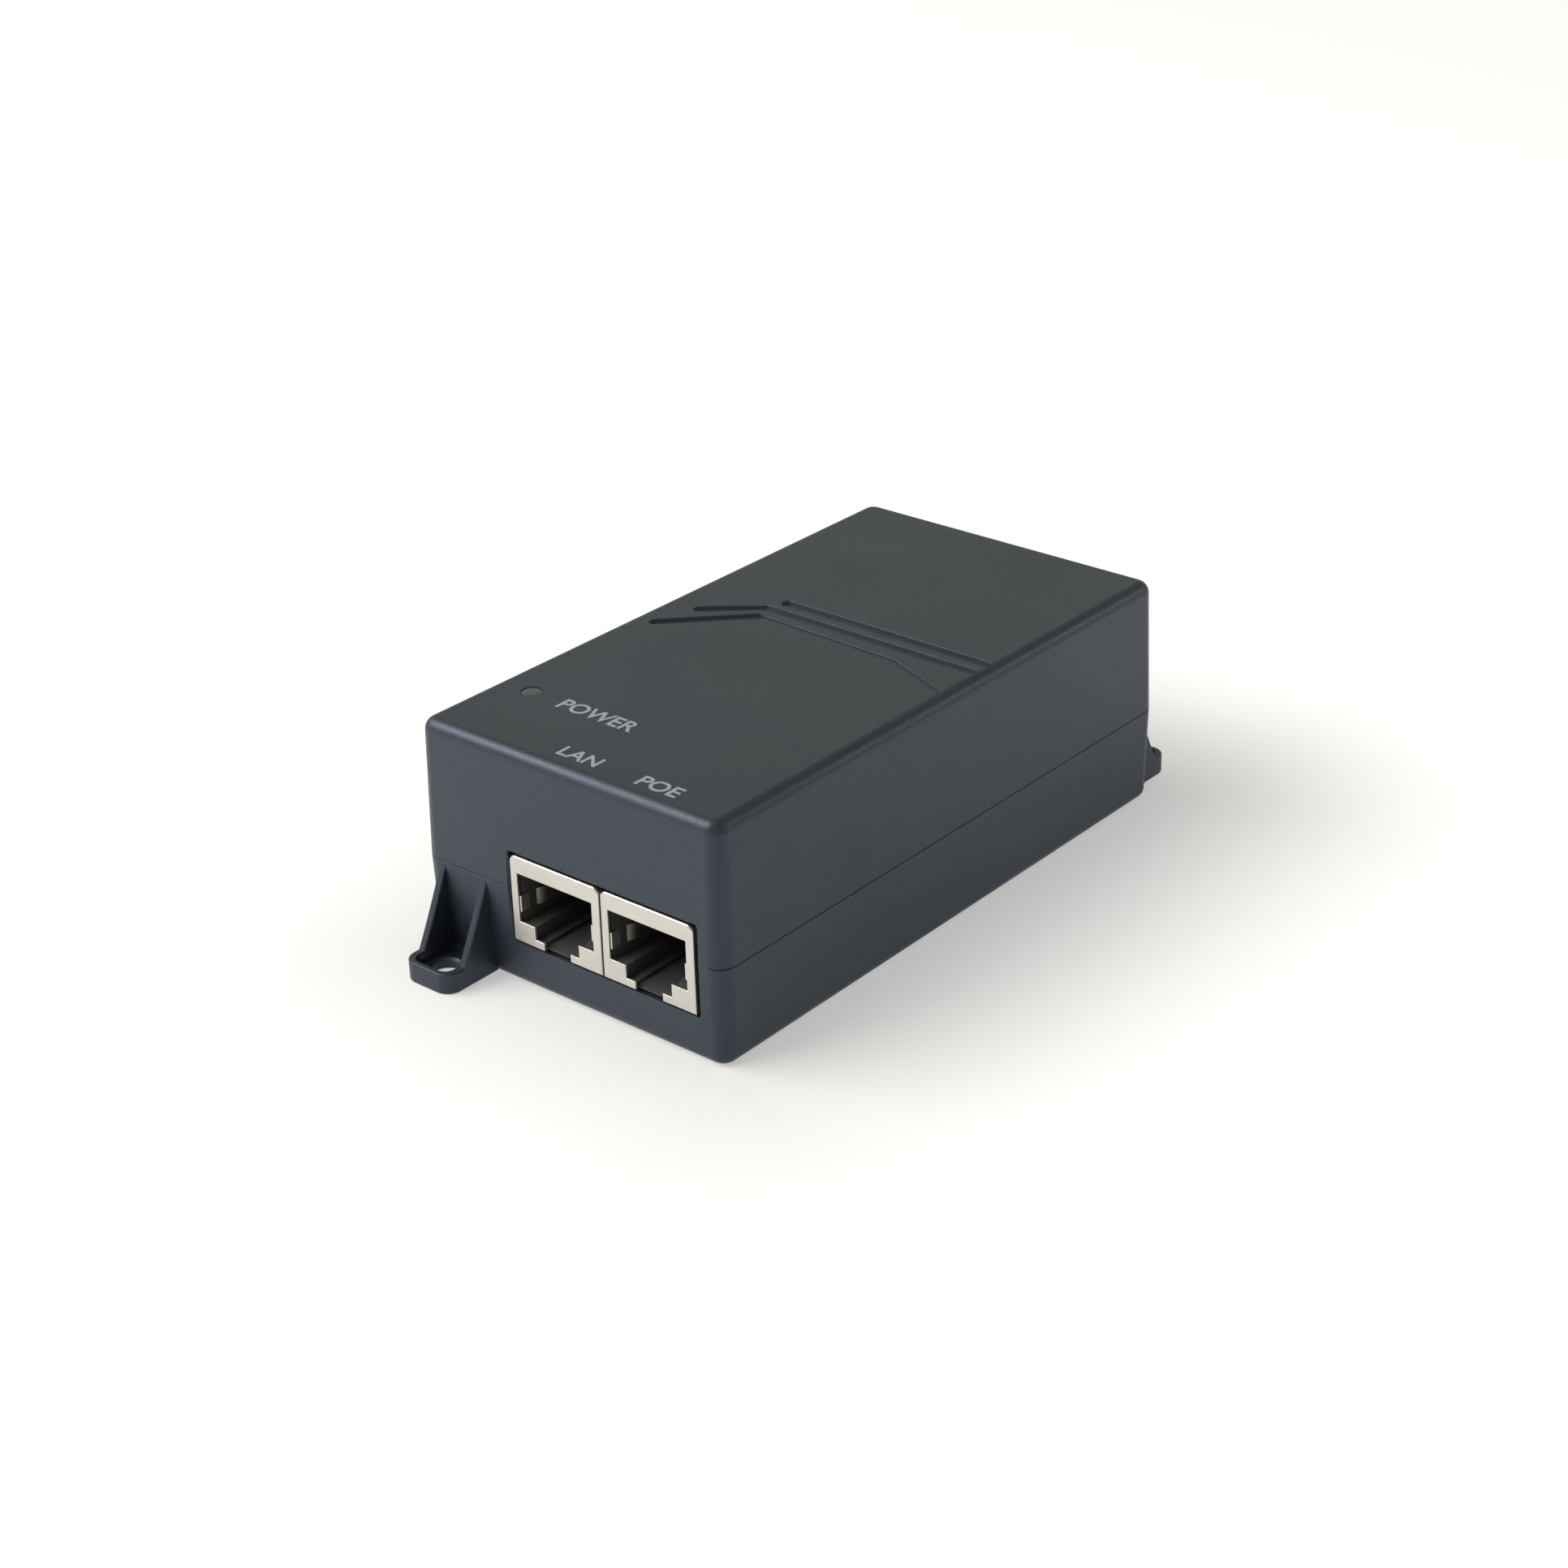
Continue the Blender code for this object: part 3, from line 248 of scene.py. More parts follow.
def box_piece(name, low, high, material, radius=0.0):
    """A box between two corners, its edges rounded when a radius is given."""
    bm = bmesh.new()
    add_box(bm, Vector(low), Vector(high))
    if radius:
        bmesh.ops.bevel(bm, geom=bm.edges[:], offset=radius, segments=3, profile=0.5, affect="EDGES")
    return make_piece(name, bm, material)


def turned_piece(name, profile, centre, material, sides=48):
    """Spin (radius, z) points about an upright axis, and close both ends flat."""
    angles = [math.tau * index / sides for index in range(sides)]
    bm = bmesh.new()
    skin(bm, [
        [(centre[0] + radius * math.cos(a), centre[1] + radius * math.sin(a), z) for a in angles]
        for radius, z in profile])
    bmesh.ops.poke(bm, faces=[face for face in bm.faces if len(face.verts) == sides])
    return make_piece(name, bm, material)


# ---------------- materials

class Shader:
    """A Principled material with a few procedural nodes wired to it."""

    def __init__(self, name, colour, roughness, metallic=0.0):
        self.material = bpy.data.materials.new(name)
        self.material.use_nodes = True
        self.tree = self.material.node_tree
        self.surface = self.tree.nodes["Principled BSDF"]
        self.surface.inputs["Base Color"].default_value = (*colour, 1.0)
        self.surface.inputs["Roughness"].default_value = roughness
        self.surface.inputs["Metallic"].default_value = metallic
        self.place = self.tree.nodes.new("ShaderNodeTexCoord").outputs["Object"]

    def node(self, kind, **values):
        made = self.tree.nodes.new(kind)
        for key, value in values.items():
            if hasattr(made, key):
                setattr(made, key, value)
            else:
                made.inputs[key.replace("_", " ")].default_value = value
        return made

    def link(self, source, target):
        self.tree.links.new(source, target)

    def stretched(self, scale):
        """Object coordinates scaled per axis, which draws a pattern out along the smallest one."""
        mapping = self.node("ShaderNodeMapping")
        mapping.inputs["Scale"].default_value = scale
        self.link(self.place, mapping.inputs["Vector"])
        return mapping.outputs["Vector"]

    def noise(self, scale, detail=3.0, rough=0.55, place=None):
        made = self.node("ShaderNodeTexNoise", Scale=scale, Detail=detail, Roughness=rough)
        self.link(place or self.place, made.inputs["Vector"])
        return made.outputs["Fac"]

    def ranged(self, value, low, high, start=0.3, end=0.7):
        made = self.node("ShaderNodeMapRange")
        for name, number in (("From Min", start), ("From Max", end), ("To Min", low), ("To Max", high)):
            made.inputs[name].default_value = number
        self.link(value, made.inputs["Value"])
        return made.outputs["Result"]

    def blended(self, factor, first, second):
        """Mix of two colours; each is a colour or another node's colour output."""
        mix = self.node("ShaderNodeMix", data_type="RGBA")
        self.link(factor, mix.inputs["Factor"])
        for name, colour in (("A", first), ("B", second)):
            socket = [s for s in mix.inputs if s.name == name and s.type == "RGBA"][0]
            if isinstance(colour, bpy.types.NodeSocket):
                self.link(colour, socket)
            else:
                socket.default_value = (*colour, 1.0)
        return [s for s in mix.outputs if s.type == "RGBA"][0]

    def colour(self, socket):
        self.link(socket, self.surface.inputs["Base Color"])

    def roughness(self, socket):
        self.link(socket, self.surface.inputs["Roughness"])

    def bump(self, height, distance, strength=1.0, under=None):
        made = self.node("ShaderNodeBump", Strength=strength, Distance=distance)
        self.link(height, made.inputs["Height"])
        if under:
            self.link(under, made.inputs["Normal"])
        self.link(made.outputs["Normal"], self.surface.inputs["Normal"])
        return made.outputs["Normal"]


def scaled(colour, factor):
    return tuple(channel * factor for channel in colour)


def moulded_plastic(name, colour, roughness=0.45, grain=4200.0, grain_depth=0.010 * MM, tint=None, gloss=0.5):
    """Spark-eroded mould finish: fine grain, slow gloss variation, and sharp edges lighter in colour, partly edge
    wear and partly a painted highlight.
    """
    look = Shader(name, colour, roughness)
    look.surface.inputs["Specular IOR Level"].default_value = gloss
    if tint:
        look.surface.inputs["Specular Tint"].default_value = (*tint, 1.0)
    cloud = look.noise(55.0, 4.0)
    speck = look.noise(2600.0, 2.0, 0.7)
    base = look.blended(look.ranged(cloud, 0.0, 1.0), scaled(colour, 0.93), scaled(colour, 1.07))
    # Sharp edges are lightened in the colour: partly edge wear, partly a painted highlight.
    edge_sharpness = look.node("ShaderNodeNewGeometry").outputs["Pointiness"]
    wear_and_highlight = look.ranged(edge_sharpness, 0.0, 0.5, 0.52, 0.60)
    look.colour(look.blended(wear_and_highlight, base, scaled(colour, 1.7)))
    mixed = look.node("ShaderNodeMath", operation="ADD")
    look.link(look.ranged(cloud, -0.04, 0.04), mixed.inputs[0])
    look.link(look.ranged(speck, roughness - 0.05, roughness + 0.07), mixed.inputs[1])
    look.roughness(mixed.outputs[0])
    coarse = look.bump(look.noise(grain * 0.4, 2.0), grain_depth, 0.5)
    look.bump(look.noise(grain, 3.0, 0.65), grain_depth, 0.8, under=coarse)
    return look.material


def sheet_metal(name, colour, roughness, along, streaks=900.0, depth=0.004 * MM):
    """Rolled or plated sheet: fine streaks drawn out along one axis, slow tarnish and small scuffs."""
    look = Shader(name, colour, roughness, 1.0)
    scale = [1.0, 1.0, 1.0]
    scale["XYZ".index(along)] = 0.04
    streak = look.noise(streaks * 3.0, 3.0, 0.6, look.stretched(scale))
    tarnish = look.noise(220.0, 4.0, 0.6)
    scuff = look.noise(1400.0, 2.0, 0.75)
    stained = look.blended(look.ranged(tarnish, 0.0, 1.0, 0.35, 0.75), colour, scaled(colour, 0.86))
    look.colour(look.blended(look.ranged(streak, 0.0, 0.5), stained, scaled(colour, 0.93)))
    mixed = look.node("ShaderNodeMath", operation="ADD")
    look.link(look.ranged(streak, roughness - 0.07, roughness + 0.07), mixed.inputs[0])
    look.link(look.ranged(scuff, 0.0, 0.10, 0.55, 0.75), mixed.inputs[1])
    look.roughness(mixed.outputs[0])
    look.bump(streak, depth, 0.6)
    return look.material


def dipped_coating(name, colour):
    """Glossy dipped epoxy with a faint orange-peel surface."""
    look = Shader(name, colour, 0.28)
    cloud = look.noise(400.0, 3.0)
    look.colour(look.blended(look.ranged(cloud, 0.0, 1.0), scaled(colour, 0.85), scaled(colour, 1.12)))
    look.roughness(look.ranged(look.noise(1500.0, 2.0), 0.22, 0.38))
    look.bump(look.noise(900.0, 2.0), 0.03 * MM, 0.5)
    return look.material


def wound_wire(name, colour, pitch, roughness=0.35, metallic=1.0):
    """Even turns of wire or tape round an upright bobbin."""
    look = Shader(name, colour, roughness, metallic)
    wave = look.node("ShaderNodeTexWave", wave_type="BANDS", bands_direction="Z", Scale=math.pi / pitch / 10.0,
                     Distortion=0.3)
    look.link(look.place, wave.inputs["Vector"])
    look.colour(look.blended(wave.outputs["Fac"], scaled(colour, 0.55), colour))
    look.bump(wave.outputs["Fac"], 0.08 * MM, 0.8)
    look.roughness(look.ranged(look.noise(700.0), roughness - 0.08, roughness + 0.1))
    return look.material


def circuit_board():
    """Green solder mask over copper tracks, with the glass weave just showing through."""
    mask = (0.012, 0.10, 0.045)
    look = Shader("board", mask, 0.4)
    tracks = look.node("ShaderNodeTexBrick", Scale=260.0, Mortar_Size=0.03)
    tracks.inputs["Color1"].default_value = (*scaled(mask, 1.5), 1.0)
    tracks.inputs["Color2"].default_value = (*scaled(mask, 1.1), 1.0)
    tracks.inputs["Mortar"].default_value = (*scaled(mask, 0.6), 1.0)
    look.link(look.place, tracks.inputs["Vector"])
    weave = look.noise(1800.0, 2.0)
    look.colour(look.blended(look.ranged(weave, 0.0, 0.35), tracks.outputs["Color"], scaled(mask, 0.8)))
    look.roughness(look.ranged(weave, 0.32, 0.5))
    look.bump(tracks.outputs["Fac"], 0.03 * MM, 0.4)
    return look.material


def light_window():
    """Clear plastic light pipe, grey with its light off."""
    look = Shader("light_window", (0.047, 0.054, 0.065), 0.30)
    look.surface.inputs["Transmission Weight"].default_value = 0.25
    look.surface.inputs["IOR"].default_value = 1.49
    haze = look.noise(900.0, 2.0)
    look.colour(look.blended(look.ranged(haze, 0.0, 1.0), (0.042, 0.048, 0.058), (0.052, 0.060, 0.072)))
    look.roughness(look.ranged(haze, 0.26, 0.38))
    return look.material


def printed_ink():
    """Pad-printed light grey ink, thin enough for the mould grain to show."""
    ink = (0.225, 0.245, 0.28)
    look = Shader("legend_ink", ink, 0.5)
    thin = look.noise(3800.0, 2.0, 0.7)
    look.colour(look.blended(look.ranged(thin, 0.0, 1.0, 0.52, 0.80), ink, scaled(ink, 0.62)))
    look.roughness(look.ranged(thin, 0.45, 0.60))
    look.bump(thin, 0.008 * MM, 0.5)
    return look.material


CASE_COLOUR = (0.013, 0.016, 0.022)
CASE_GLOSS_TINT = (0.69, 0.78, 1.0)
JACK_BLACK = (0.034, 0.034, 0.037)
SHIELD_TIN = (0.696, 0.67, 0.613)
LOOKS = {
    "case": moulded_plastic("case", CASE_COLOUR, 0.43, tint=CASE_GLOSS_TINT, gloss=0.62),
    "shield": sheet_metal("shield", SHIELD_TIN, 0.38, "X"),
    "jack_plastic": moulded_plastic("jack_plastic", JACK_BLACK, 0.68, 2600.0, 0.006 * MM, gloss=0.14),
    "contact_gold": sheet_metal("contact_gold", (0.86, 0.62, 0.24), 0.22, "Y", depth=0.002 * MM),
    "pin_metal": sheet_metal("pin_metal", (0.78, 0.75, 0.68), 0.25, "Y"),
    "screw_steel": sheet_metal("screw_steel", (0.50, 0.50, 0.51), 0.30, "X"),
    "board": circuit_board(),
    "insulation": dipped_coating("insulation", (0.50, 0.44, 0.30)),
    "light_window": light_window(),
    "aluminium": sheet_metal("aluminium", (0.66, 0.67, 0.69), 0.36, "Z"),
    "ferrite": moulded_plastic("ferrite", (0.045, 0.045, 0.05), 0.6, 1500.0, 0.03 * MM),
    "tape": wound_wire("tape", (0.72, 0.52, 0.08), 1.6 * MM, 0.35, 0.0),
    "copper": wound_wire("copper", (0.72, 0.30, 0.12), 0.5 * MM),
    "can_sleeve": dipped_coating("can_sleeve", (0.03, 0.045, 0.12)),
    "epoxy": moulded_plastic("epoxy", (0.014, 0.014, 0.016), 0.5, 2200.0, 0.012 * MM),
    "yellow_box": dipped_coating("yellow_box", (0.70, 0.50, 0.06)),
    "blue_coating": dipped_coating("blue_coating", (0.03, 0.14, 0.42)),
    "green_coating": dipped_coating("green_coating", (0.05, 0.20, 0.09)),
    "legend_ink": printed_ink(),
}
CASE = LOOKS["case"]


# ---------------- places taken from the frame

SCREWS = {}
for screw_number in range(1, 5):
    screw_low, screw_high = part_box(f"case_screw_{screw_number}")
    SCREWS[f"case_screw_{screw_number}"] = ((screw_low + screw_high) / 2, screw_low.z, screw_high.z)
SCREW_PLACES = [place for place, _, _ in SCREWS.values()]
HEAD_RADIUS = (screw_high.x - screw_low.x) / 2
HEAD_HEIGHT = 1.8 * MM
SHANK_RADIUS = 1.3 * MM
RECESS_TURN = math.radians(40.0)    # how far round the cross recesses came to rest
BOSS_RADIUS = 3.0 * MM

pipe_low, pipe_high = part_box("led_light_pipe")
LIGHT = (pipe_low + pipe_high) / 2
PIPE_RADIUS = (pipe_high.x - pipe_low.x) / 2
PIPE_GAP = 0.03 * MM
PIPE_DOME = 0.10 * MM

JACKS = {prefix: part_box(f"{prefix}_jack_shield") for prefix in ("lan", "poe")}
JACK_LEFT_GAP = 0.30 * MM
JACK_RIGHT_GAP = 0.55 * MM
JACK_END_GAP = 0.30 * MM

inlet_low, inlet_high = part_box("inlet_housing")
INLET = (inlet_low + inlet_high) / 2
INLET_BODY = (27.3 * MM, 19.8 * MM)


# ---------------- case shells

def case_outline():
    return rounded_rectangle(WIDTH, LENGTH, CORNER, CORNER_STEPS)


def columns(places, radius, low, high, sides=32):
    """Upright cylinders at several places, as one tool."""
    bm = bmesh.new()
    for place in places:
        matrix = Matrix.Translation((place[0], place[1], (low + high) / 2))
        bmesh.ops.create_cone(
            bm, cap_ends=True, segments=sides, radius1=radius, radius2=radius, depth=high - low,
            matrix=matrix)
    return make_piece("columns", bm, CASE)


def wall_opening(width, height, centre, face, outward):
    """Tool for a window in an end wall, flared where it meets the outer face."""
    outline = rounded_rectangle(width, height, 0.35 * MM, 4, centre)
    inner = (0.0, face - outward * (WALL + 2 * MARGIN))
    levels = mouth_levels(face, -outward, EDGE_ROUND, 4, inner)
    return prism_piece("opening", outline, "Y", levels, CASE)


def jack_opening():
    left = JACKS["lan"][0].x - JACK_LEFT_GAP
    right = JACKS["poe"][1].x + JACK_RIGHT_GAP
    low = JACKS["lan"][0].z - JACK_END_GAP
    high = JACKS["lan"][1].z + JACK_END_GAP
    centre = ((left + right) / 2, (low + high) / 2)
    return wall_opening(right - left, high - low, centre, FRONT + 0.15 * MM, -1)


def inlet_opening():
    width = INLET_BODY[0] + 2 * CLEARANCE
    height = INLET_BODY[1] + 2 * CLEARANCE
    return wall_opening(width, height, (INLET.x, INLET.z), BACK - 0.15 * MM, 1)


def strip_outline(path, half_width, steps=6):
    """Counter-clockwise outline of a strip with round ends along a bent path."""
    points = [Vector(point) for point in path]
    directions = [(b - a).normalized() for a, b in zip(points, points[1:])]

    def end_cap(centre, direction):
        start = math.atan2(direction.y, direction.x) - math.pi / 2
        angles = [start + math.pi * step / steps for step in range(steps + 1)]
        return [centre + half_width * Vector((math.cos(a), math.sin(a))) for a in angles]

    sides = []
    for index in range(1, len(points) - 1):
        normal = (directions[index - 1] + directions[index]).normalized()
        normal = Vector((-normal.y, normal.x))
        reach = half_width / normal.dot(Vector((-directions[index].y, directions[index].x)))
        sides.append(normal * reach)
    right = [point - side for point, side in zip(points[1:-1], sides)]
    left = [point + side for point, side in zip(points[1:-1], sides)]
    return right + end_cap(points[-1], directions[-1]) + left[::-1] + end_cap(points[0], -directions[0])


# Chevron grooves in the top face, in millimetres: (path, half width, depth)
GROOVES = (
    (((-19.3, 0.9), (-12.3, 6.7), (23.3, 6.7)), 0.88, 0.42),
    (((-10.7, 9.7), (23.3, 9.7)), 0.88, 0.42),
    (((-21.3, -6.0), (-11.1, 3.9)), 0.88, 0.42),
    (((-10.6, 4.0), (12.6, 3.2), (23.7, -1.2)), 0.50, 0.20),
)
GROOVE_LEAN = 0.30


def rounded_corners(outline, radius, steps=5):
    """Replace each corner of a counter-clockwise outline with an arc of about the given radius."""
    points = []
    count = len(outline)
    for index in range(count):
        here = Vector(outline[index])
        before = (Vector(outline[index - 1]) - here).normalized()
        after = (Vector(outline[(index + 1) % count]) - here).normalized()
        start = here + before * radius
        end = here + after * radius
        for step in range(steps + 1):
            share = step / steps
            near = start.lerp(here, share)
            far = here.lerp(end, share)
            points.append(near.lerp(far, share))
    return points


def groove_levels(depth):
    """Levels of a groove in the top face: a flared mouth, then walls that lean in to the floor."""
    slope = GROOVE_LEAN * (depth - SOFT_EDGE)
    return mouth_levels(FACE, -1, SOFT_EDGE, 3, (-slope, FACE - depth))


def make_cover():
    top = [(-(COVER_DRAFT + inset), FACE - fall) for inset, fall in quarter(TOP_FILLET, FILLET_STEPS)]
    lip = COVER_RIM - (CLEARANCE - SEAM) / 2
    rim = [(-inset, lip + rise) for inset, rise in reversed(quarter(RIM_ROUND, 4))]
    rebate = WALL - TONGUE - CLEARANCE
    inside = [
        (-rebate, lip),
        (-rebate, TONGUE_TOP + CLEARANCE),
        (-WALL, TONGUE_TOP + CLEARANCE),
        (-WALL - COVER_DRAFT, CEILING),
    ]
    cover = prism_piece("cover_shell", case_outline(), "Z", top + rim + inside, CASE)
    boss_bottom = TONGUE_TOP - 0.1 * MM + CLEARANCE
    join(cover, columns(SCREW_PLACES, BOSS_RADIUS, boss_bottom, CEILING + MARGIN))
    join(cover, columns([LIGHT], BOSS_RADIUS, CEILING - 6.9 * MM, CEILING + MARGIN))
    shank_top = max(high for _, _, high in SCREWS.values())
    pilot = columns(SCREW_PLACES, SHANK_RADIUS + CLEARANCE, COVER_RIM - MARGIN, shank_top + 1.5 * MM)
    cut(cover, pilot)
    pipe_hole = columns([LIGHT], PIPE_RADIUS + PIPE_GAP, CEILING - 8 * MM, TOP + MARGIN, 48)
    cut(cover, pipe_hole)
    cut(cover, jack_opening())
    cut(cover, inlet_opening())
    for path, half_width, depth in GROOVES:
        outline = strip_outline([(x * MM, y * MM) for x, y in path], half_width * MM)
        groove = prism_piece("groove", outline, "Z", groove_levels(depth * MM), CASE)
        cut(cover, groove)
    finish_piece(cover, CASE, "case", "top_cover")


# Screw ear, in the base's front left corner; the rear one is the same turned half round
EAR_X = -18.8 * MM
EAR_WIDTH = 8.6 * MM
EAR_HEIGHT = 3.0 * MM
EAR_CORNER = 2.2 * MM
EAR_SEAT = 1.5 * MM
EAR_LIP = 0.8 * MM
EAR_HOLE = (EAR_X, FRONT - 4.2 * MM)
EAR_HOLE_RADIUS = 2.05 * MM
EAR_HOLE_CHAMFER = 0.35 * MM
ROOT_REACH = 0.4 * MM
ROOT_HEIGHT = 0.9 * MM
RIB_THICKNESS = 1.1 * MM
RIB_REACH = 4.9 * MM
RIB_SAG = 0.13 * MM
RIB_TOP = BASE_RIM - 0.45 * MM
INSIDE_WALL = FRONT + WALL / 2
EAR_LEFT = EAR_X - EAR_WIDTH / 2
EAR_RIGHT = EAR_X + EAR_WIDTH / 2


def ear_outline(left, right, tip, corner):
    """Plan of the ear or of its seat: round outer corners, rooted inside the front wall."""
    outline = [(right, INSIDE_WALL), (left, INSIDE_WALL)]
    for hub_x, start in ((left + corner, math.pi), (right - corner, 1.5 * math.pi)):
        outline += arc(hub_x, tip + corner, corner, start, math.pi / 2, CORNER_STEPS)
    return outline


def rib_outline():
    """Side view of a gusset rib as (y, z): a very shallow inward arc down to the plate."""
    top = Vector((FRONT, RIB_TOP))
    foot = Vector((FRONT - RIB_REACH, EAR_HEIGHT))
    chord = foot - top
    inward = Vector((-chord.y, chord.x)).normalized()
    steps = 16
    arc = []
    for step in range(steps + 1):
        share = step / steps
        arc.append(top + chord * share + inward * RIB_SAG * 4 * share * (1 - share))
    foot = 1.2 * MM
    tail = ((FRONT - RIB_REACH, foot), (INSIDE_WALL, foot), (INSIDE_WALL, RIB_TOP))
    return arc + [Vector(point) for point in tail]


def root_outline():
    """Side view, as (y, z), of the hollow fillet between the seat and the front wall."""
    steps = 8
    run = ROOT_REACH + BASE_DRAFT
    curve = []
    for step in range(steps + 1):
        angle = math.pi / 2 * step / steps
        rise = ROOT_HEIGHT * (1 - math.cos(angle))
        curve.append((FRONT - ROOT_REACH + run * math.sin(angle), EAR_SEAT + rise))
    foot = EAR_SEAT / 2
    tail = [(FRONT - ROOT_REACH, foot), (INSIDE_WALL, foot), (INSIDE_WALL, EAR_SEAT + ROOT_HEIGHT)]
    return tail + curve[::-1]


def make_ear():
    """The whole ear as one tool: a plate with a sunk seat, a rib along each side and a root fillet."""
    tip = base_low.y
    plate = ear_outline(EAR_LEFT, EAR_RIGHT, tip, EAR_CORNER)
    ear = prism_piece("ear", plate, "Z", block_levels(0.0, EAR_HEIGHT, 0.25 * MM), CASE)
    seat = ear_outline(
        EAR_LEFT + RIB_THICKNESS, EAR_RIGHT - RIB_THICKNESS, tip + EAR_LIP, EAR_CORNER - EAR_LIP)
    levels = mouth_levels(EAR_HEIGHT, -1, SOFT_EDGE, 3, (-0.06 * MM, EAR_SEAT))
    cut(ear, prism_piece("seat", seat, "Z", levels, CASE))
    span = [(0.0, EAR_LEFT + RIB_THICKNESS / 2), (0.0, EAR_RIGHT - RIB_THICKNESS / 2)]
    join(ear, prism_piece("root", root_outline(), "X", span, CASE))
    for low_x in (EAR_LEFT, EAR_RIGHT - RIB_THICKNESS):
        levels = block_levels(low_x, low_x + RIB_THICKNESS, 0.2 * MM)
        join(ear, prism_piece("rib", rib_outline(), "X", levels, CASE))
    return ear


def ear_hole():
    """Tool for the screw hole: a straight throat with a chamfered rim and a softened underside."""
    soft = 0.15 * MM
    mouth = EAR_HOLE_RADIUS + EAR_HOLE_CHAMFER
    profile = [
        (EAR_HOLE_RADIUS + soft, -MARGIN),
        (EAR_HOLE_RADIUS + soft, 0.0),
        (EAR_HOLE_RADIUS, soft),
        (EAR_HOLE_RADIUS, EAR_SEAT - EAR_HOLE_CHAMFER),
        (mouth, EAR_SEAT),
        (mouth, EAR_SEAT + 0.8 * MM),
    ]
    return turned_piece("ear_hole", profile, EAR_HOLE, CASE)


def both_ends(base, tool_maker, operation):
    """Apply a front-ear tool, and the same tool turned half round for the rear ear."""
    for angle in (0.0, math.pi):
        tool = tool_maker()
        tool.data.transform(Matrix.Rotation(angle, 4, "Z"))
        combine(base, tool, operation)


def make_base():
    bottom = [(-(BASE_DRAFT + inset), rise) for inset, rise in quarter(BOTTOM_FILLET, FILLET_STEPS)]
    lip = BASE_RIM + (CLEARANCE - SEAM) / 2
    rim = [(-inset, lip - fall) for inset, fall in reversed(quarter(RIM_ROUND, 4))]
    shoulder = WALL - TONGUE
    inside = [
        (-shoulder, lip),
        (-shoulder, TONGUE_TOP),
        (-WALL, TONGUE_TOP),
        (-WALL - BASE_DRAFT, FLOOR),
    ]
    base = prism_piece("base_shell", case_outline(), "Z", bottom + rim + inside, CASE)
    join(base, columns(SCREW_PLACES, BOSS_RADIUS, FLOOR - MARGIN, TONGUE_TOP - 0.1 * MM))
    board_low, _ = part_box("main_pcb")
    for y in (-8.0 * MM, 14.0 * MM):
        for side in (-1, 1):
            reach = sorted((side * 20.6 * MM, side * (WIDTH / 2 - WALL / 2 - BASE_DRAFT)))
            low = (reach[0], y - 2.5 * MM, FLOOR - MARGIN)
            high = (reach[1], y + 2.5 * MM, board_low.z - CLEARANCE)
            join(base, box_piece("ledge", low, high, CASE))
    both_ends(base, make_ear, "UNION")
    both_ends(base, ear_hole, "DIFFERENCE")
    cut(base, columns(SCREW_PLACES, SHANK_RADIUS + CLEARANCE, -MARGIN, BASE_RIM + 3 * MM))
    head_low = min(low for _, low, _ in SCREWS.values())
    recess_top = head_low + HEAD_HEIGHT + CLEARANCE
    cut(base, columns(SCREW_PLACES, HEAD_RADIUS + CLEARANCE, -MARGIN, recess_top, 48))
    cut(base, jack_opening())
    cut(base, inlet_opening())
    finish_piece(base, CASE, "case", "bottom_cover")


# ---------------- network jacks

SHEET = 0.4 * MM
SHIELD_CORNER = 1.0 * MM
SHIELD_BEND = 0.3 * MM
PLUG = {"half": 6.05 * MM, "low": 3.05 * MM, "high": 10.1 * MM}
WINDOW_HALF = 6.5 * MM              # the shield's window stands back from the cavity at each side
LATCH = {"half": 3.85 * MM, "low": 1.2 * MM}
KEY = {"half": 2.3 * MM, "low": 0.7 * MM}


def arch_outline(low, high, inset, radius, drop=0.0):
    """Front view of a shield as (x, z): square at the bottom, round at the upper corners."""
    left = low.x + inset
    right = high.x - inset
    top = high.z - inset
    points = [(left, low.z - drop), (right, low.z - drop)]
    for hub_x, start in ((right - radius, 0.0), (left + radius, math.pi / 2)):
        points += arc(hub_x, top - radius, radius, start, math.pi / 2, 8)
    return points


def plug_outline(centre_x, foot, key_low, half=PLUG["half"]):
    """Front view of a plug opening as (x, z), with its stepped latch slot, counter-clockwise."""
    right = [
        (KEY["half"], key_low),
        (KEY["half"], foot + LATCH["low"]),
        (LATCH["half"], foot + LATCH["low"]),
        (LATCH["half"], foot + PLUG["low"]),
        (half, foot + PLUG["low"]),
        (half, foot + PLUG["high"]),
    ]
    left = [(-x, z) for x, z in reversed(right)]
    return [(centre_x + x, z) for x, z in right + left]


FINGER_HEIGHT = (11.2 * MM, 13.5 * MM)
FINGER_START = 2.7 * MM
FINGER_REACH = 3.0 * MM
FINGER_BULGE = 0.45 * MM


def spring_finger(centre_x, low, side):
    """Grounding finger of a side wall: it runs back inside the housing, then bulges into the cavity."""
    steps = 12
    buried = centre_x + side * (PLUG["half"] + 0.20 * MM)
    middle = [(buried, low.y + 0.2 * MM)]
    for step in range(steps + 1):
        share = step / steps
        bulge = side * FINGER_BULGE * math.sin(math.pi * share)
        middle.append((buried - bulge, low.y + FINGER_START + FINGER_REACH * share))
    half_sheet = side * 0.12 * MM
    outer = [(x + half_sheet, y) for x, y in middle]
    inner = [(x - half_sheet, y) for x, y in middle]
    levels = [(0.0, height) for height in FINGER_HEIGHT]
    return prism_piece("finger", outer + inner[::-1], "Z", levels, LOOKS["shield"])


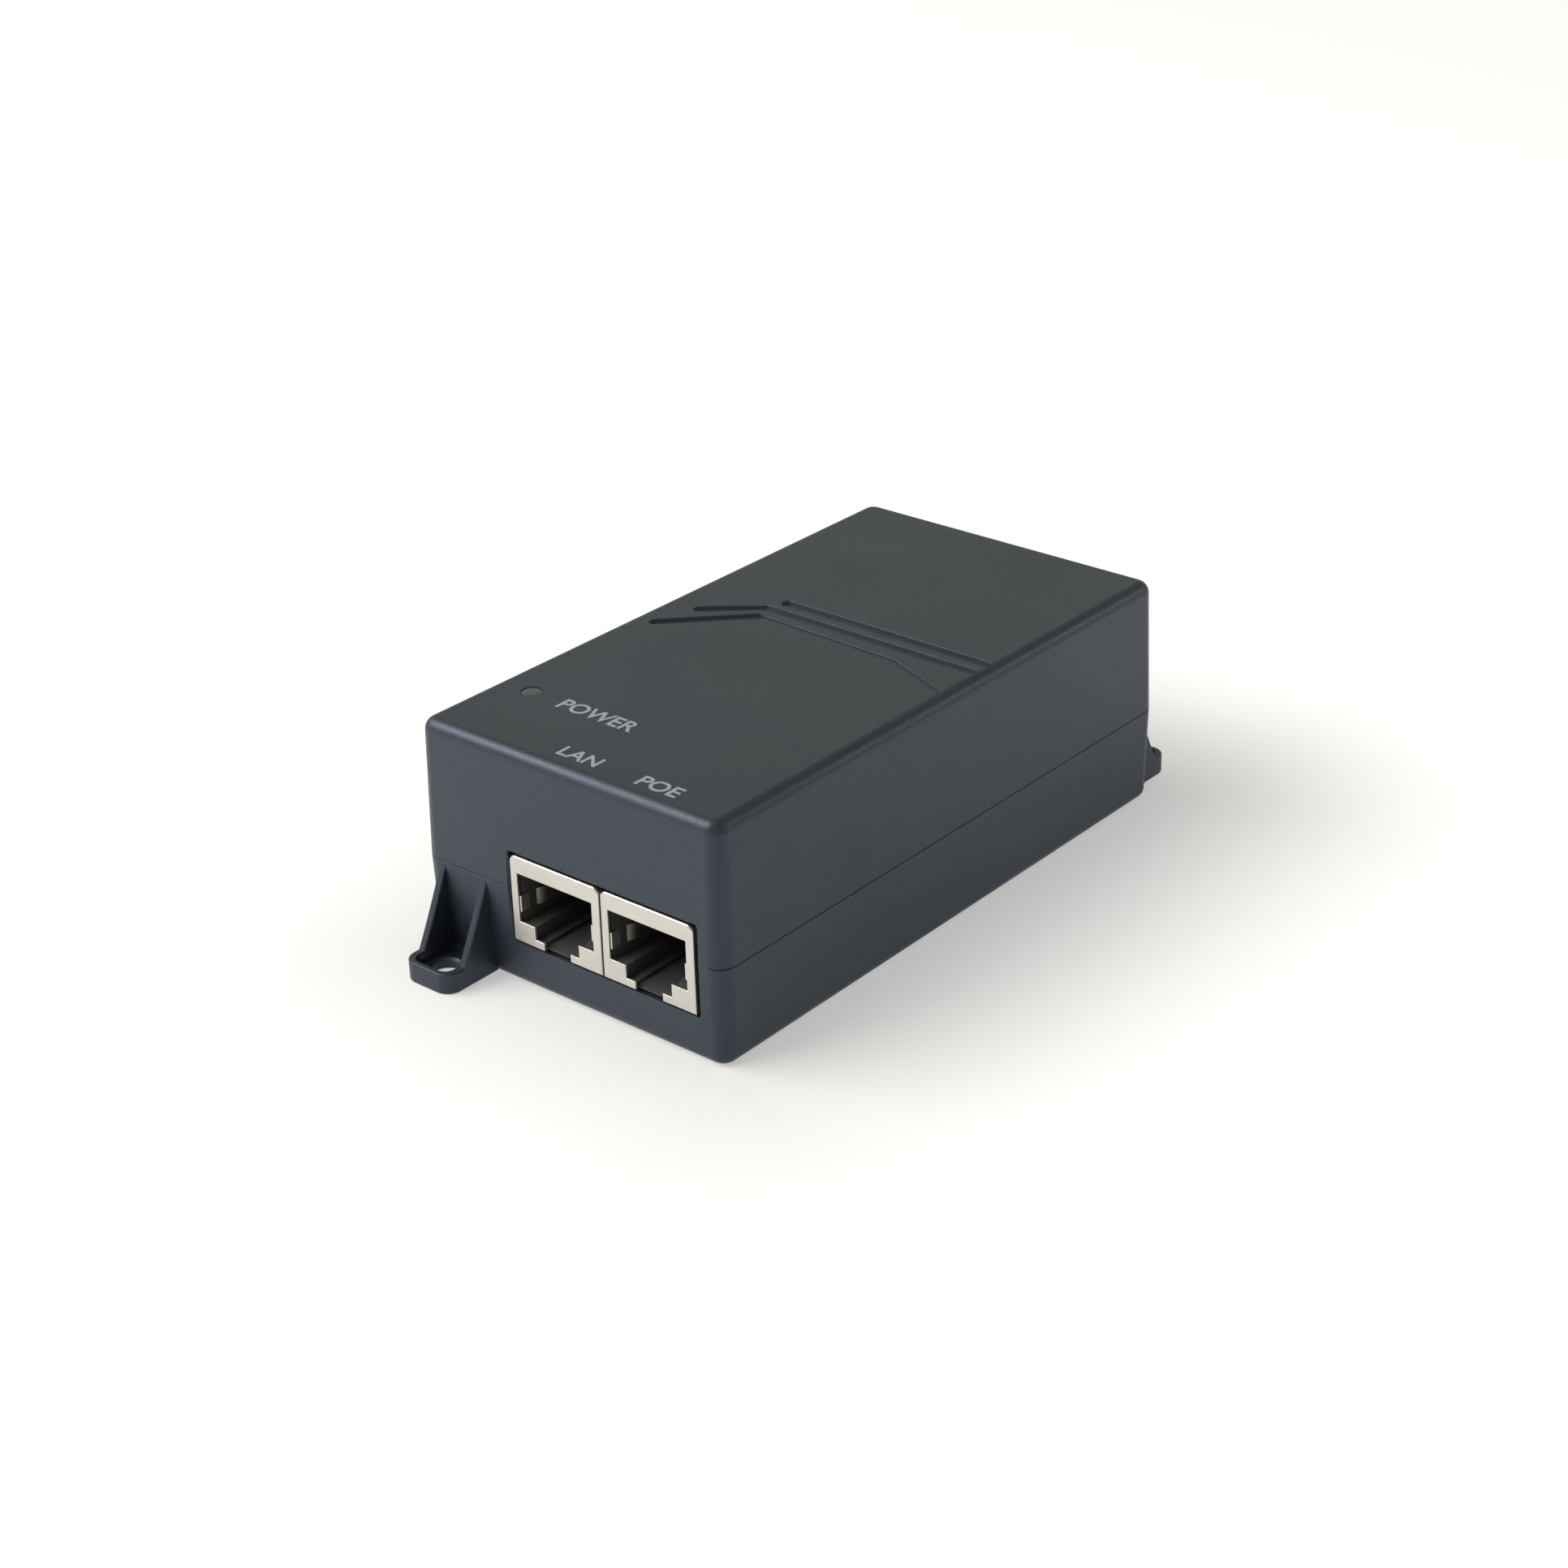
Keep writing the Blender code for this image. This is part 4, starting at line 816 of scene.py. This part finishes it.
def make_shield(prefix, low, high):
    """Folded sheet: soft outer bends, a framed front and an open underside."""
    look = LOOKS["shield"]
    outer = arch_outline(low, high, 0.0, SHIELD_CORNER)
    levels = block_levels(low.y, high.y, SHIELD_BEND, 5)
    shield = prism_piece(f"{prefix}_shield_sheet", outer, "Y", levels, look)
    inner = arch_outline(low, high, SHEET, SHIELD_CORNER - SHEET, drop=MARGIN)
    hollow = prism_piece("hollow", inner, "Y", [(0.0, low.y + SHEET), (0.0, high.y - SHEET)], look)
    cut(shield, hollow)
    centre_x = (low.x + high.x) / 2
    window = plug_outline(centre_x, low.z, low.z - MARGIN, WINDOW_HALF)
    levels = mouth_levels(low.y, 1, 0.1 * MM, 3, (0.0, low.y + SHEET + MARGIN / 2))
    cut(shield, prism_piece("window", window, "Y", levels, look))
    for side in (-1, 1):
        join(shield, spring_finger(centre_x, low, side))
    finish_piece(shield, look, "shield", f"{prefix}_jack_shield")


def make_housing(prefix, shield_low):
    """Moulded jack body with a led-in plug cavity, contact slot and comb teeth."""
    look = LOOKS["jack_plastic"]
    low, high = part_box(f"{prefix}_jack_housing")
    centre_x = (low.x + high.x) / 2
    width = high.x - low.x
    height = high.z - low.z
    outline = rounded_rectangle(width, height, 0.25 * MM, 3, (centre_x, (low.z + high.z) / 2))
    ends = block_levels(low.y, high.y, 0.15 * MM)
    housing = prism_piece(f"{prefix}_housing_body", outline, "Y", ends, look)
    lead = 0.35 * MM
    cavity = plug_outline(centre_x, shield_low.z, shield_low.z + KEY["low"])
    levels = [(lead, low.y - MARGIN), (lead, low.y), (0.0, low.y + 1.2 * MM), (0.0, high.y - 2.0 * MM)]
    cut(housing, prism_piece("cavity", cavity, "Y", levels, look))
    insert_low, insert_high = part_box(f"{prefix}_jack_insert")
    slot_low = (insert_low.x - CLEARANCE, low.y + 1.6 * MM, shield_low.z + PLUG["high"] - 0.1 * MM)
    slot_high = (insert_high.x + CLEARANCE, high.y + MARGIN, high.z + MARGIN)
    cut(housing, box_piece("slot", slot_low, slot_high, look))
    teeth = bmesh.new()
    first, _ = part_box(f"{prefix}_contact_1")
    second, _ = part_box(f"{prefix}_contact_2")
    pitch = second.x - first.x
    middle = (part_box(f"{prefix}_contact_1")[1].x + first.x) / 2
    thickness = 0.24 * MM
    for tooth in range(9):
        x = middle + (tooth - 0.5) * pitch
        add_box(
            teeth,
            Vector((x - thickness / 2, high.y - 4.6 * MM, shield_low.z + 5.6 * MM)),
            Vector((x + thickness / 2, high.y - 1.8 * MM, shield_low.z + 9.9 * MM)))
    join(housing, make_piece("teeth", teeth, look))
    finish_piece(housing, look, "jack_plastic", f"{prefix}_jack_housing")


CONTACT_SLOPE = math.radians(25.0)
BEND_RADIUS = 0.5 * MM
CONTACT_SECTION = (0.46 * MM, 0.30 * MM)


def contact_path(axis_y, axis_z, tip_y):
    """Side view of a contact as (y, z): root, bend round the hinge line, arm and upturned tip."""
    root = (axis_y + 0.75 * MM, axis_z + BEND_RADIUS)
    bend = arc(axis_y, axis_z, BEND_RADIUS, math.pi / 2, math.pi - CONTACT_SLOPE, 14)
    points = [Vector(point) for point in [root] + bend]
    start = points[-1]
    reach = tip_y - start.x - 0.12 * MM
    arm_steps = 10
    for step in range(1, arm_steps + 1):
        share = step / arm_steps
        lift = 0.12 * MM * share * share
        points.append(start + Vector((reach * share, -reach * share * math.tan(CONTACT_SLOPE) + lift)))
    return points


def make_contact(prefix, number):
    """Gold-plated wire: a rounded rectangular section swept along the contact's path."""
    name = f"{prefix}_contact_{number}"
    low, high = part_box(name)
    joint = [j for j in frame["joints"] if j["child"] == f"{prefix}_contacts"][0]
    _, axis_y, axis_z = joint["pos_m"]
    path = contact_path(axis_y, axis_z, high.y)
    section = rounded_rectangle(*CONTACT_SECTION, 0.1 * MM, 3)
    centre_x = (low.x + high.x) / 2
    rings = []
    for index, point in enumerate(path):
        before = path[max(index - 1, 0)]
        after = path[min(index + 1, len(path) - 1)]
        direction = (after - before).normalized()
        normal = Vector((-direction.y, direction.x))
        ring = [(centre_x + across, *(point + normal * up)) for across, up in section]
        rings.append(ring)
    bm = bmesh.new()
    skin(bm, rings)
    wire = make_piece(f"{name}_wire", bm, LOOKS["contact_gold"])
    finish_piece(wire, LOOKS["contact_gold"], "contact_gold", name)


def make_jacks():
    for prefix, (low, high) in JACKS.items():
        make_shield(prefix, low, high)
        make_housing(prefix, low)
        for number in range(1, 9):
            make_contact(prefix, number)


# ---------------- mains inlet

FLANGE_THICKNESS = 1.5 * MM
MOUTH = (24.8 * MM, 16.8 * MM)
MOUTH_CUT = 4.6 * MM
MOUTH_DEPTH = 16.6 * MM
MOUTH_LEAD = 0.5 * MM
BLADE_HEIGHT = 4.0 * MM


def mouth_outline():
    """Front view of the inlet's cavity as (x, z): two upper corners cut off, the rest softened."""
    left = INLET.x - MOUTH[0] / 2
    right = INLET.x + MOUTH[0] / 2
    low = INLET.z - MOUTH[1] / 2
    high = INLET.z + MOUTH[1] / 2
    outline = [
        (left, low),
        (right, low),
        (right, high - MOUTH_CUT),
        (right - MOUTH_CUT, high),
        (left + MOUTH_CUT, high),
        (left, high - MOUTH_CUT),
    ]
    return rounded_corners(outline, 0.9 * MM)


def make_inlet():
    look = LOOKS["jack_plastic"]
    face = inlet_high.y
    body = rounded_rectangle(*INLET_BODY, 0.8 * MM, 5, (INLET.x, INLET.z))
    levels = block_levels(inlet_low.y, face - 0.4 * MM, 0.3 * MM)
    inlet = prism_piece("inlet_body", body, "Y", levels, look)
    size = (inlet_high.x - inlet_low.x, inlet_high.z - inlet_low.z)
    rim = rounded_rectangle(*size, 2.0 * MM, 8, (INLET.x, INLET.z))
    flange = prism_piece("flange", rim, "Y", block_levels(face - FLANGE_THICKNESS, face, 0.4 * MM, 5), look)
    join(inlet, flange)
    levels = mouth_levels(face, -1, MOUTH_LEAD, 5, (0.0, face - MOUTH_DEPTH))
    cut(inlet, prism_piece("mouth", mouth_outline(), "Y", levels, look))
    for name in ("line", "neutral", "earth"):
        low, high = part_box(f"inlet_{name}_pin")
        low_z = high.z - BLADE_HEIGHT
        slot_low = (low.x - CLEARANCE / 2, inlet_low.y - MARGIN, low_z - CLEARANCE / 2)
        slot_high = (high.x + CLEARANCE / 2, face - MOUTH_DEPTH + MARGIN, high.z + CLEARANCE / 2)
        cut(inlet, box_piece("slot", slot_low, slot_high, look))
        collar_low = (low.x - MM, face - MOUTH_DEPTH - 0.5 * MM, low_z - MM)
        collar_high = (high.x + MM, face - MOUTH_DEPTH + 0.6 * MM, high.z + MM)
        collar = box_piece("collar", collar_low, collar_high, look, 0.2 * MM)
        bore_low = (low.x - CLEARANCE / 2, face - MOUTH_DEPTH - MARGIN, low_z - CLEARANCE / 2)
        cut(collar, box_piece("bore", bore_low, slot_high, look))
        join(inlet, collar)
    finish_piece(inlet, look, "jack_plastic", "inlet_housing")


def make_blade(name):
    """Flat plated blade with a rounded nose; its tail turns down to the board."""
    look = LOOKS["pin_metal"]
    low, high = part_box(f"inlet_{name}_pin")
    low_z = high.z - BLADE_HEIGHT
    tail = 1.6 * MM
    nose = 1.0 * MM
    outline = [
        (low.y, low.z),
        (low.y + tail, low.z),
        (low.y + tail, low_z),
        (high.y - nose, low_z),
        (high.y, low_z + 0.8 * nose),
        (high.y, high.z - 0.8 * nose),
        (high.y - nose, high.z),
        (low.y, high.z),
    ]
    blade = prism_piece(
        f"inlet_{name}_blade", rounded_corners(outline, 0.35 * MM, 3), "X",
        block_levels(low.x, high.x, 0.25 * MM, 4), look)
    finish_piece(blade, look, "pin_metal", f"inlet_{name}_pin")


# ---------------- screws, light, lettering

THREAD_PITCH = 0.9 * MM
THREAD_ROOT = SHANK_RADIUS * 0.8
HEAD_EDGE = 0.15 * MM               # bevel round the back of the head
HEAD_DOME = 0.9 * MM
RECESS_ARM = 1.25 * MM              # half the length of the cross
RECESS_HALF_WIDTH = 0.275 * MM
RECESS_CORNER = 0.20 * MM           # stays larger than the narrowing, or the cutting tool turns inside out
RECESS_NARROWING = 0.14 * MM
RECESS_DEPTH = 1.2 * MM


def cross_outline(arm, half_width):
    """Counter-clockwise outline of a plus sign centred on the origin."""
    east = [(arm, -half_width), (arm, half_width), (half_width, half_width)]
    points = []
    for along, across in ((1, 0), (0, 1), (-1, 0), (0, -1)):
        points += [(u * along - v * across, u * across + v * along) for u, v in east]
    return points


def make_screw(name, place, low, high):
    """Pan-head self-tapping screw: domed head with a cross recess, and a ridged shank."""
    look = LOOKS["screw_steel"]
    head_top = low + HEAD_HEIGHT
    profile = [(HEAD_RADIUS * 0.45, low)]
    dome_steps = 6
    for step in range(1, dome_steps + 1):
        angle = math.pi / 2 * step / dome_steps
        spread = HEAD_RADIUS * (0.45 + 0.55 * math.sin(angle))
        profile.append((spread, low + HEAD_DOME * (1 - math.cos(angle))))
    profile += [(HEAD_RADIUS, head_top - HEAD_EDGE), (HEAD_RADIUS - HEAD_EDGE, head_top)]
    profile.append((THREAD_ROOT, head_top))
    turns = int((high - head_top - 2.0 * MM) / THREAD_PITCH)
    for turn in range(turns):
        start = head_top + 0.6 * MM + turn * THREAD_PITCH
        profile += [
            (THREAD_ROOT, start),
            (SHANK_RADIUS, start + 0.35 * THREAD_PITCH),
            (SHANK_RADIUS, start + 0.45 * THREAD_PITCH),
        ]
    profile += [(THREAD_ROOT, high - 1.4 * MM), (SHANK_RADIUS * 0.2, high)]
    screw = turned_piece(f"{name}_metal", profile, place, look, 32)
    bm = bmesh.new()
    outline = rounded_corners(cross_outline(RECESS_ARM, RECESS_HALF_WIDTH), RECESS_CORNER, 3)
    levels = [(0.0, -MARGIN), (0.0, low - 0.1 * MM), (-RECESS_NARROWING, low + RECESS_DEPTH)]
    shaped_prism(bm, outline, "Z", levels)
    turn = Matrix.Translation((place.x, place.y, 0.0)) @ Matrix.Rotation(RECESS_TURN, 4, "Z")
    bmesh.ops.transform(bm, matrix=turn, verts=bm.verts)
    cut(screw, make_piece("recess", bm, look))
    finish_piece(screw, look, "screw_steel", name)


def make_light_pipe():
    """Light pipe whose end is a shallow dome that all but fills its hole in the cover's top."""
    look = LOOKS["light_window"]
    crown = FACE - 0.03 * MM
    profile = [(PIPE_RADIUS - 0.2 * MM, pipe_low.z), (PIPE_RADIUS, pipe_low.z + 0.2 * MM)]
    dome_steps = 8
    for step in range(dome_steps + 1):
        angle = math.pi / 2 * step / dome_steps
        profile.append((PIPE_RADIUS * math.cos(angle), crown - PIPE_DOME * (1 - math.sin(angle))))
    profile[-1] = (PIPE_RADIUS * 0.02, crown)
    pipe = turned_piece("light_pipe_window", profile, LIGHT, look)
    finish_piece(pipe, look, "light_window", "led_light_pipe")


def make_legend(words, left, right, baseline, height):
    """Raised print of one generic word on the cover's face."""
    font = bpy.data.curves.new(f"{words.lower()}_legend_font", "FONT")
    font.body = words
    font.resolution_u = 6
    font.offset = 0.018
    text = bpy.data.objects.new("letters", font)
    bpy.context.scene.collection.objects.link(text)
    graph = bpy.context.evaluated_depsgraph_get()
    mesh = bpy.data.meshes.new_from_object(text.evaluated_get(graph))
    bpy.data.objects.remove(text, do_unlink=True)
    xs = [vertex.co.x for vertex in mesh.vertices]
    ys = [vertex.co.y for vertex in mesh.vertices]
    scale_x = (right - left) / (max(xs) - min(xs))
    scale_y = height / (max(ys) - min(ys))
    shift = Matrix.Translation((left, baseline, TOP))
    to_corner = Matrix.Translation((-min(xs), -min(ys), 0))
    mesh.transform(shift @ Matrix.Diagonal((scale_x, scale_y, 1.0, 1.0)) @ to_corner)
    bm = bmesh.new()
    bm.from_mesh(mesh)
    bmesh.ops.remove_doubles(bm, verts=bm.verts, dist=1e-6)
    extruded = bmesh.ops.extrude_face_region(bm, geom=bm.faces[:])
    lowered = [item for item in extruded["geom"] if isinstance(item, bmesh.types.BMVert)]
    bmesh.ops.translate(bm, vec=(0.0, 0.0, -2 * INK), verts=lowered)
    letters = make_piece(f"{words.lower()}_legend", bm, LOOKS["legend_ink"])
    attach(letters, "injector")


def make_legends():
    edge = -WIDTH / 2
    make_legend("POWER", edge + 12.5 * MM, edge + 25.5 * MM, FRONT + 13.4 * MM, 2.75 * MM)
    make_legend("LAN", edge + 22.1 * MM, edge + 28.7 * MM, FRONT + 3.5 * MM, 2.45 * MM)
    make_legend("POE", edge + 35.6 * MM, edge + 42.3 * MM, FRONT + 3.2 * MM, 2.6 * MM)


def dress_inner_nodes():
    """Give every CAD node that stays its slot's procedural material."""
    for entry in frame["record"]["subparts"]:
        node = frame["nodes"][entry["node"]]
        node.data.materials.clear()
        node.data.materials.append(LOOKS[entry["material_slot"]])


# ---------------- stage, lights and camera

# Floor glow by distance from the case, lowered close round the case as a painted contact shadow and again far
# away as a painted fade: (from, to, start, end), the last two in metres
FLOOR_PAINTED_SHADOW = (0.42, 0.68, 0.002, 0.042)
FLOOR_PAINTED_FADE = (1.0, 0.64, 0.9, 1.6)


def make_stage():
    """Pale seamless floor that glows, with a painted contact shadow close round the case and painted shade again
    far away.
    """
    look = Shader("floor", (0.32, 0.32, 0.32), 0.9)
    look.surface.inputs["Emission Color"].default_value = (1.0, 1.0, 1.0, 1.0)
    place = look.place
    past_the_case = (
        ("ABSOLUTE", None),
        ("SUBTRACT", (WIDTH / 2, LENGTH / 2, 0.0)),
        ("MAXIMUM", (0.0, 0.0, 0.0)),
        ("LENGTH", None),
    )
    for operation, value in past_the_case:
        step = look.node("ShaderNodeVectorMath", operation=operation)
        look.link(place, step.inputs[0])
        if value:
            step.inputs[1].default_value = value
        place = step.outputs["Value" if operation == "LENGTH" else "Vector"]
    # Painted shade: the glow is lowered close round the case as a contact shadow, and again far away.
    near = look.ranged(place, *FLOOR_PAINTED_SHADOW)
    far = look.ranged(place, *FLOOR_PAINTED_FADE)
    both = look.node("ShaderNodeMath", operation="MULTIPLY")
    look.link(near, both.inputs[0])
    look.link(far, both.inputs[1])
    look.link(both.outputs[0], look.surface.inputs["Emission Strength"])
    reach = 6.0
    bm = bmesh.new()
    bmesh.ops.create_grid(bm, x_segments=2, y_segments=2, size=reach)
    floor = make_piece("floor", bm, look.material)
    floor.location.z = -0.02 * MM


# Studio surround by height of the direction looked in: (sine of elevation, brightness)
SURROUND = ((0.0, 0.20), (0.14, 0.45), (0.35, 0.84), (0.50, 0.44), (0.70, 0.34), (1.0, 0.40))
SURROUND_TINT = (1.0, 1.01, 0.86)


def make_world():
    """Studio surround, alike all the way round: a dim horizon under a broad bright band, and a dimmer ceiling."""
    world = bpy.data.worlds.new("studio")
    world.use_nodes = True
    nodes = world.node_tree.nodes
    links = world.node_tree.links
    coordinates = nodes.new("ShaderNodeTexCoord")
    split = nodes.new("ShaderNodeSeparateXYZ")
    ramp = nodes.new("ShaderNodeValToRGB")
    links.new(coordinates.outputs["Generated"], split.inputs["Vector"])
    links.new(split.outputs["Z"], ramp.inputs["Fac"])
    stops = ramp.color_ramp.elements
    while len(stops) < len(SURROUND):
        stops.new(0.5)
    for stop, (height, brightness) in zip(stops, SURROUND):
        stop.position = height
        stop.color = (*scaled(SURROUND_TINT, brightness), 1.0)
    links.new(ramp.outputs["Color"], nodes["Background"].inputs["Color"])
    bpy.context.scene.world = world


def add_area_light(name, place, aim, size, power, colour):
    light = bpy.data.lights.new(name, "AREA")
    light.shape = "RECTANGLE"
    light.size, light.size_y = size
    light.energy = power
    light.color = colour
    lamp = bpy.data.objects.new(name, light)
    lamp.location = place
    lamp.rotation_euler = (Vector(aim) - Vector(place)).to_track_quat("-Z", "Y").to_euler()
    bpy.context.scene.collection.objects.link(lamp)
    return lamp


SOFTBOX_DISTANCE = 0.9
SOFTBOX_WARM = (1.0, 0.97, 0.93)
KEY_DIRECTION = Vector((-0.576, -0.58, 0.58))
GLOSS_DIRECTION = Vector((-0.571, -0.423, 0.704))


def make_lights():
    """Broad key softbox low at the front left, and a weak one behind on the right for the far edge.

    The key's mirror image is left to a smaller, higher lamp beside it, which lights the front
    round and the shields without whitening the top where it is looked at from the far side.
    """
    middle = Vector((0.0, 0.0, TOP / 2))
    key_place = middle + SOFTBOX_DISTANCE * KEY_DIRECTION
    key = add_area_light("key", key_place, middle, (0.9, 0.8), 16.0, SOFTBOX_WARM)
    key.visible_glossy = False
    gloss_place = middle + SOFTBOX_DISTANCE * GLOSS_DIRECTION.normalized()
    gloss = add_area_light("key_gloss", gloss_place, middle, (0.45, 0.45), 6.0, SOFTBOX_WARM)
    gloss.visible_diffuse = False
    rim_place = middle + Vector((0.61, 0.70, 0.38))
    add_area_light("rim", rim_place, middle, (0.35, 0.35), 0.8, (1.0, 0.98, 0.95))


# Camera: the viewing direction of a three-quarter product shot, aimed near the case's middle
CAMERA_AZIMUTH = math.radians(39.445)
CAMERA_ELEVATION = math.radians(24.829)
CAMERA_ROLL = math.radians(-1.176)
CAMERA_DISTANCE = 431.99 * MM
CAMERA_TARGET = Vector((-12.78 * MM, 23.01 * MM, 16.92 * MM))
CAMERA_LENS = 68.36
CAMERA_SHIFT = (-0.0349, -0.0673)


def make_camera():
    """Camera turned about its own axis by the roll, with the small lens shift of the framing."""
    azimuth = CAMERA_AZIMUTH
    elevation = CAMERA_ELEVATION
    back = Vector((math.sin(azimuth) * math.cos(elevation), -math.cos(azimuth) * math.cos(elevation),
                   math.sin(elevation)))
    data = bpy.data.cameras.new("camera")
    data.lens = CAMERA_LENS
    data.shift_x, data.shift_y = CAMERA_SHIFT
    data.clip_start = 0.01
    data.clip_end = 50.0
    camera = bpy.data.objects.new("camera", data)
    bpy.context.scene.collection.objects.link(camera)
    level = (-back).to_track_quat("-Z", "Y").to_matrix().to_4x4()
    place = Matrix.Translation(CAMERA_TARGET + back * CAMERA_DISTANCE)
    camera.matrix_world = place @ level @ Matrix.Rotation(CAMERA_ROLL, 4, "Z")
    bpy.context.scene.camera = camera


bpy.context.scene.view_settings.view_transform = "Standard"
dress_inner_nodes()
make_cover()
make_base()
make_jacks()
make_inlet()
for pin in ("line", "neutral", "earth"):
    make_blade(pin)
for screw, (spot, screw_bottom, screw_top) in SCREWS.items():
    make_screw(screw, spot, screw_bottom, screw_top)
make_light_pipe()
make_legends()
make_stage()
make_world()
make_lights()
make_camera()
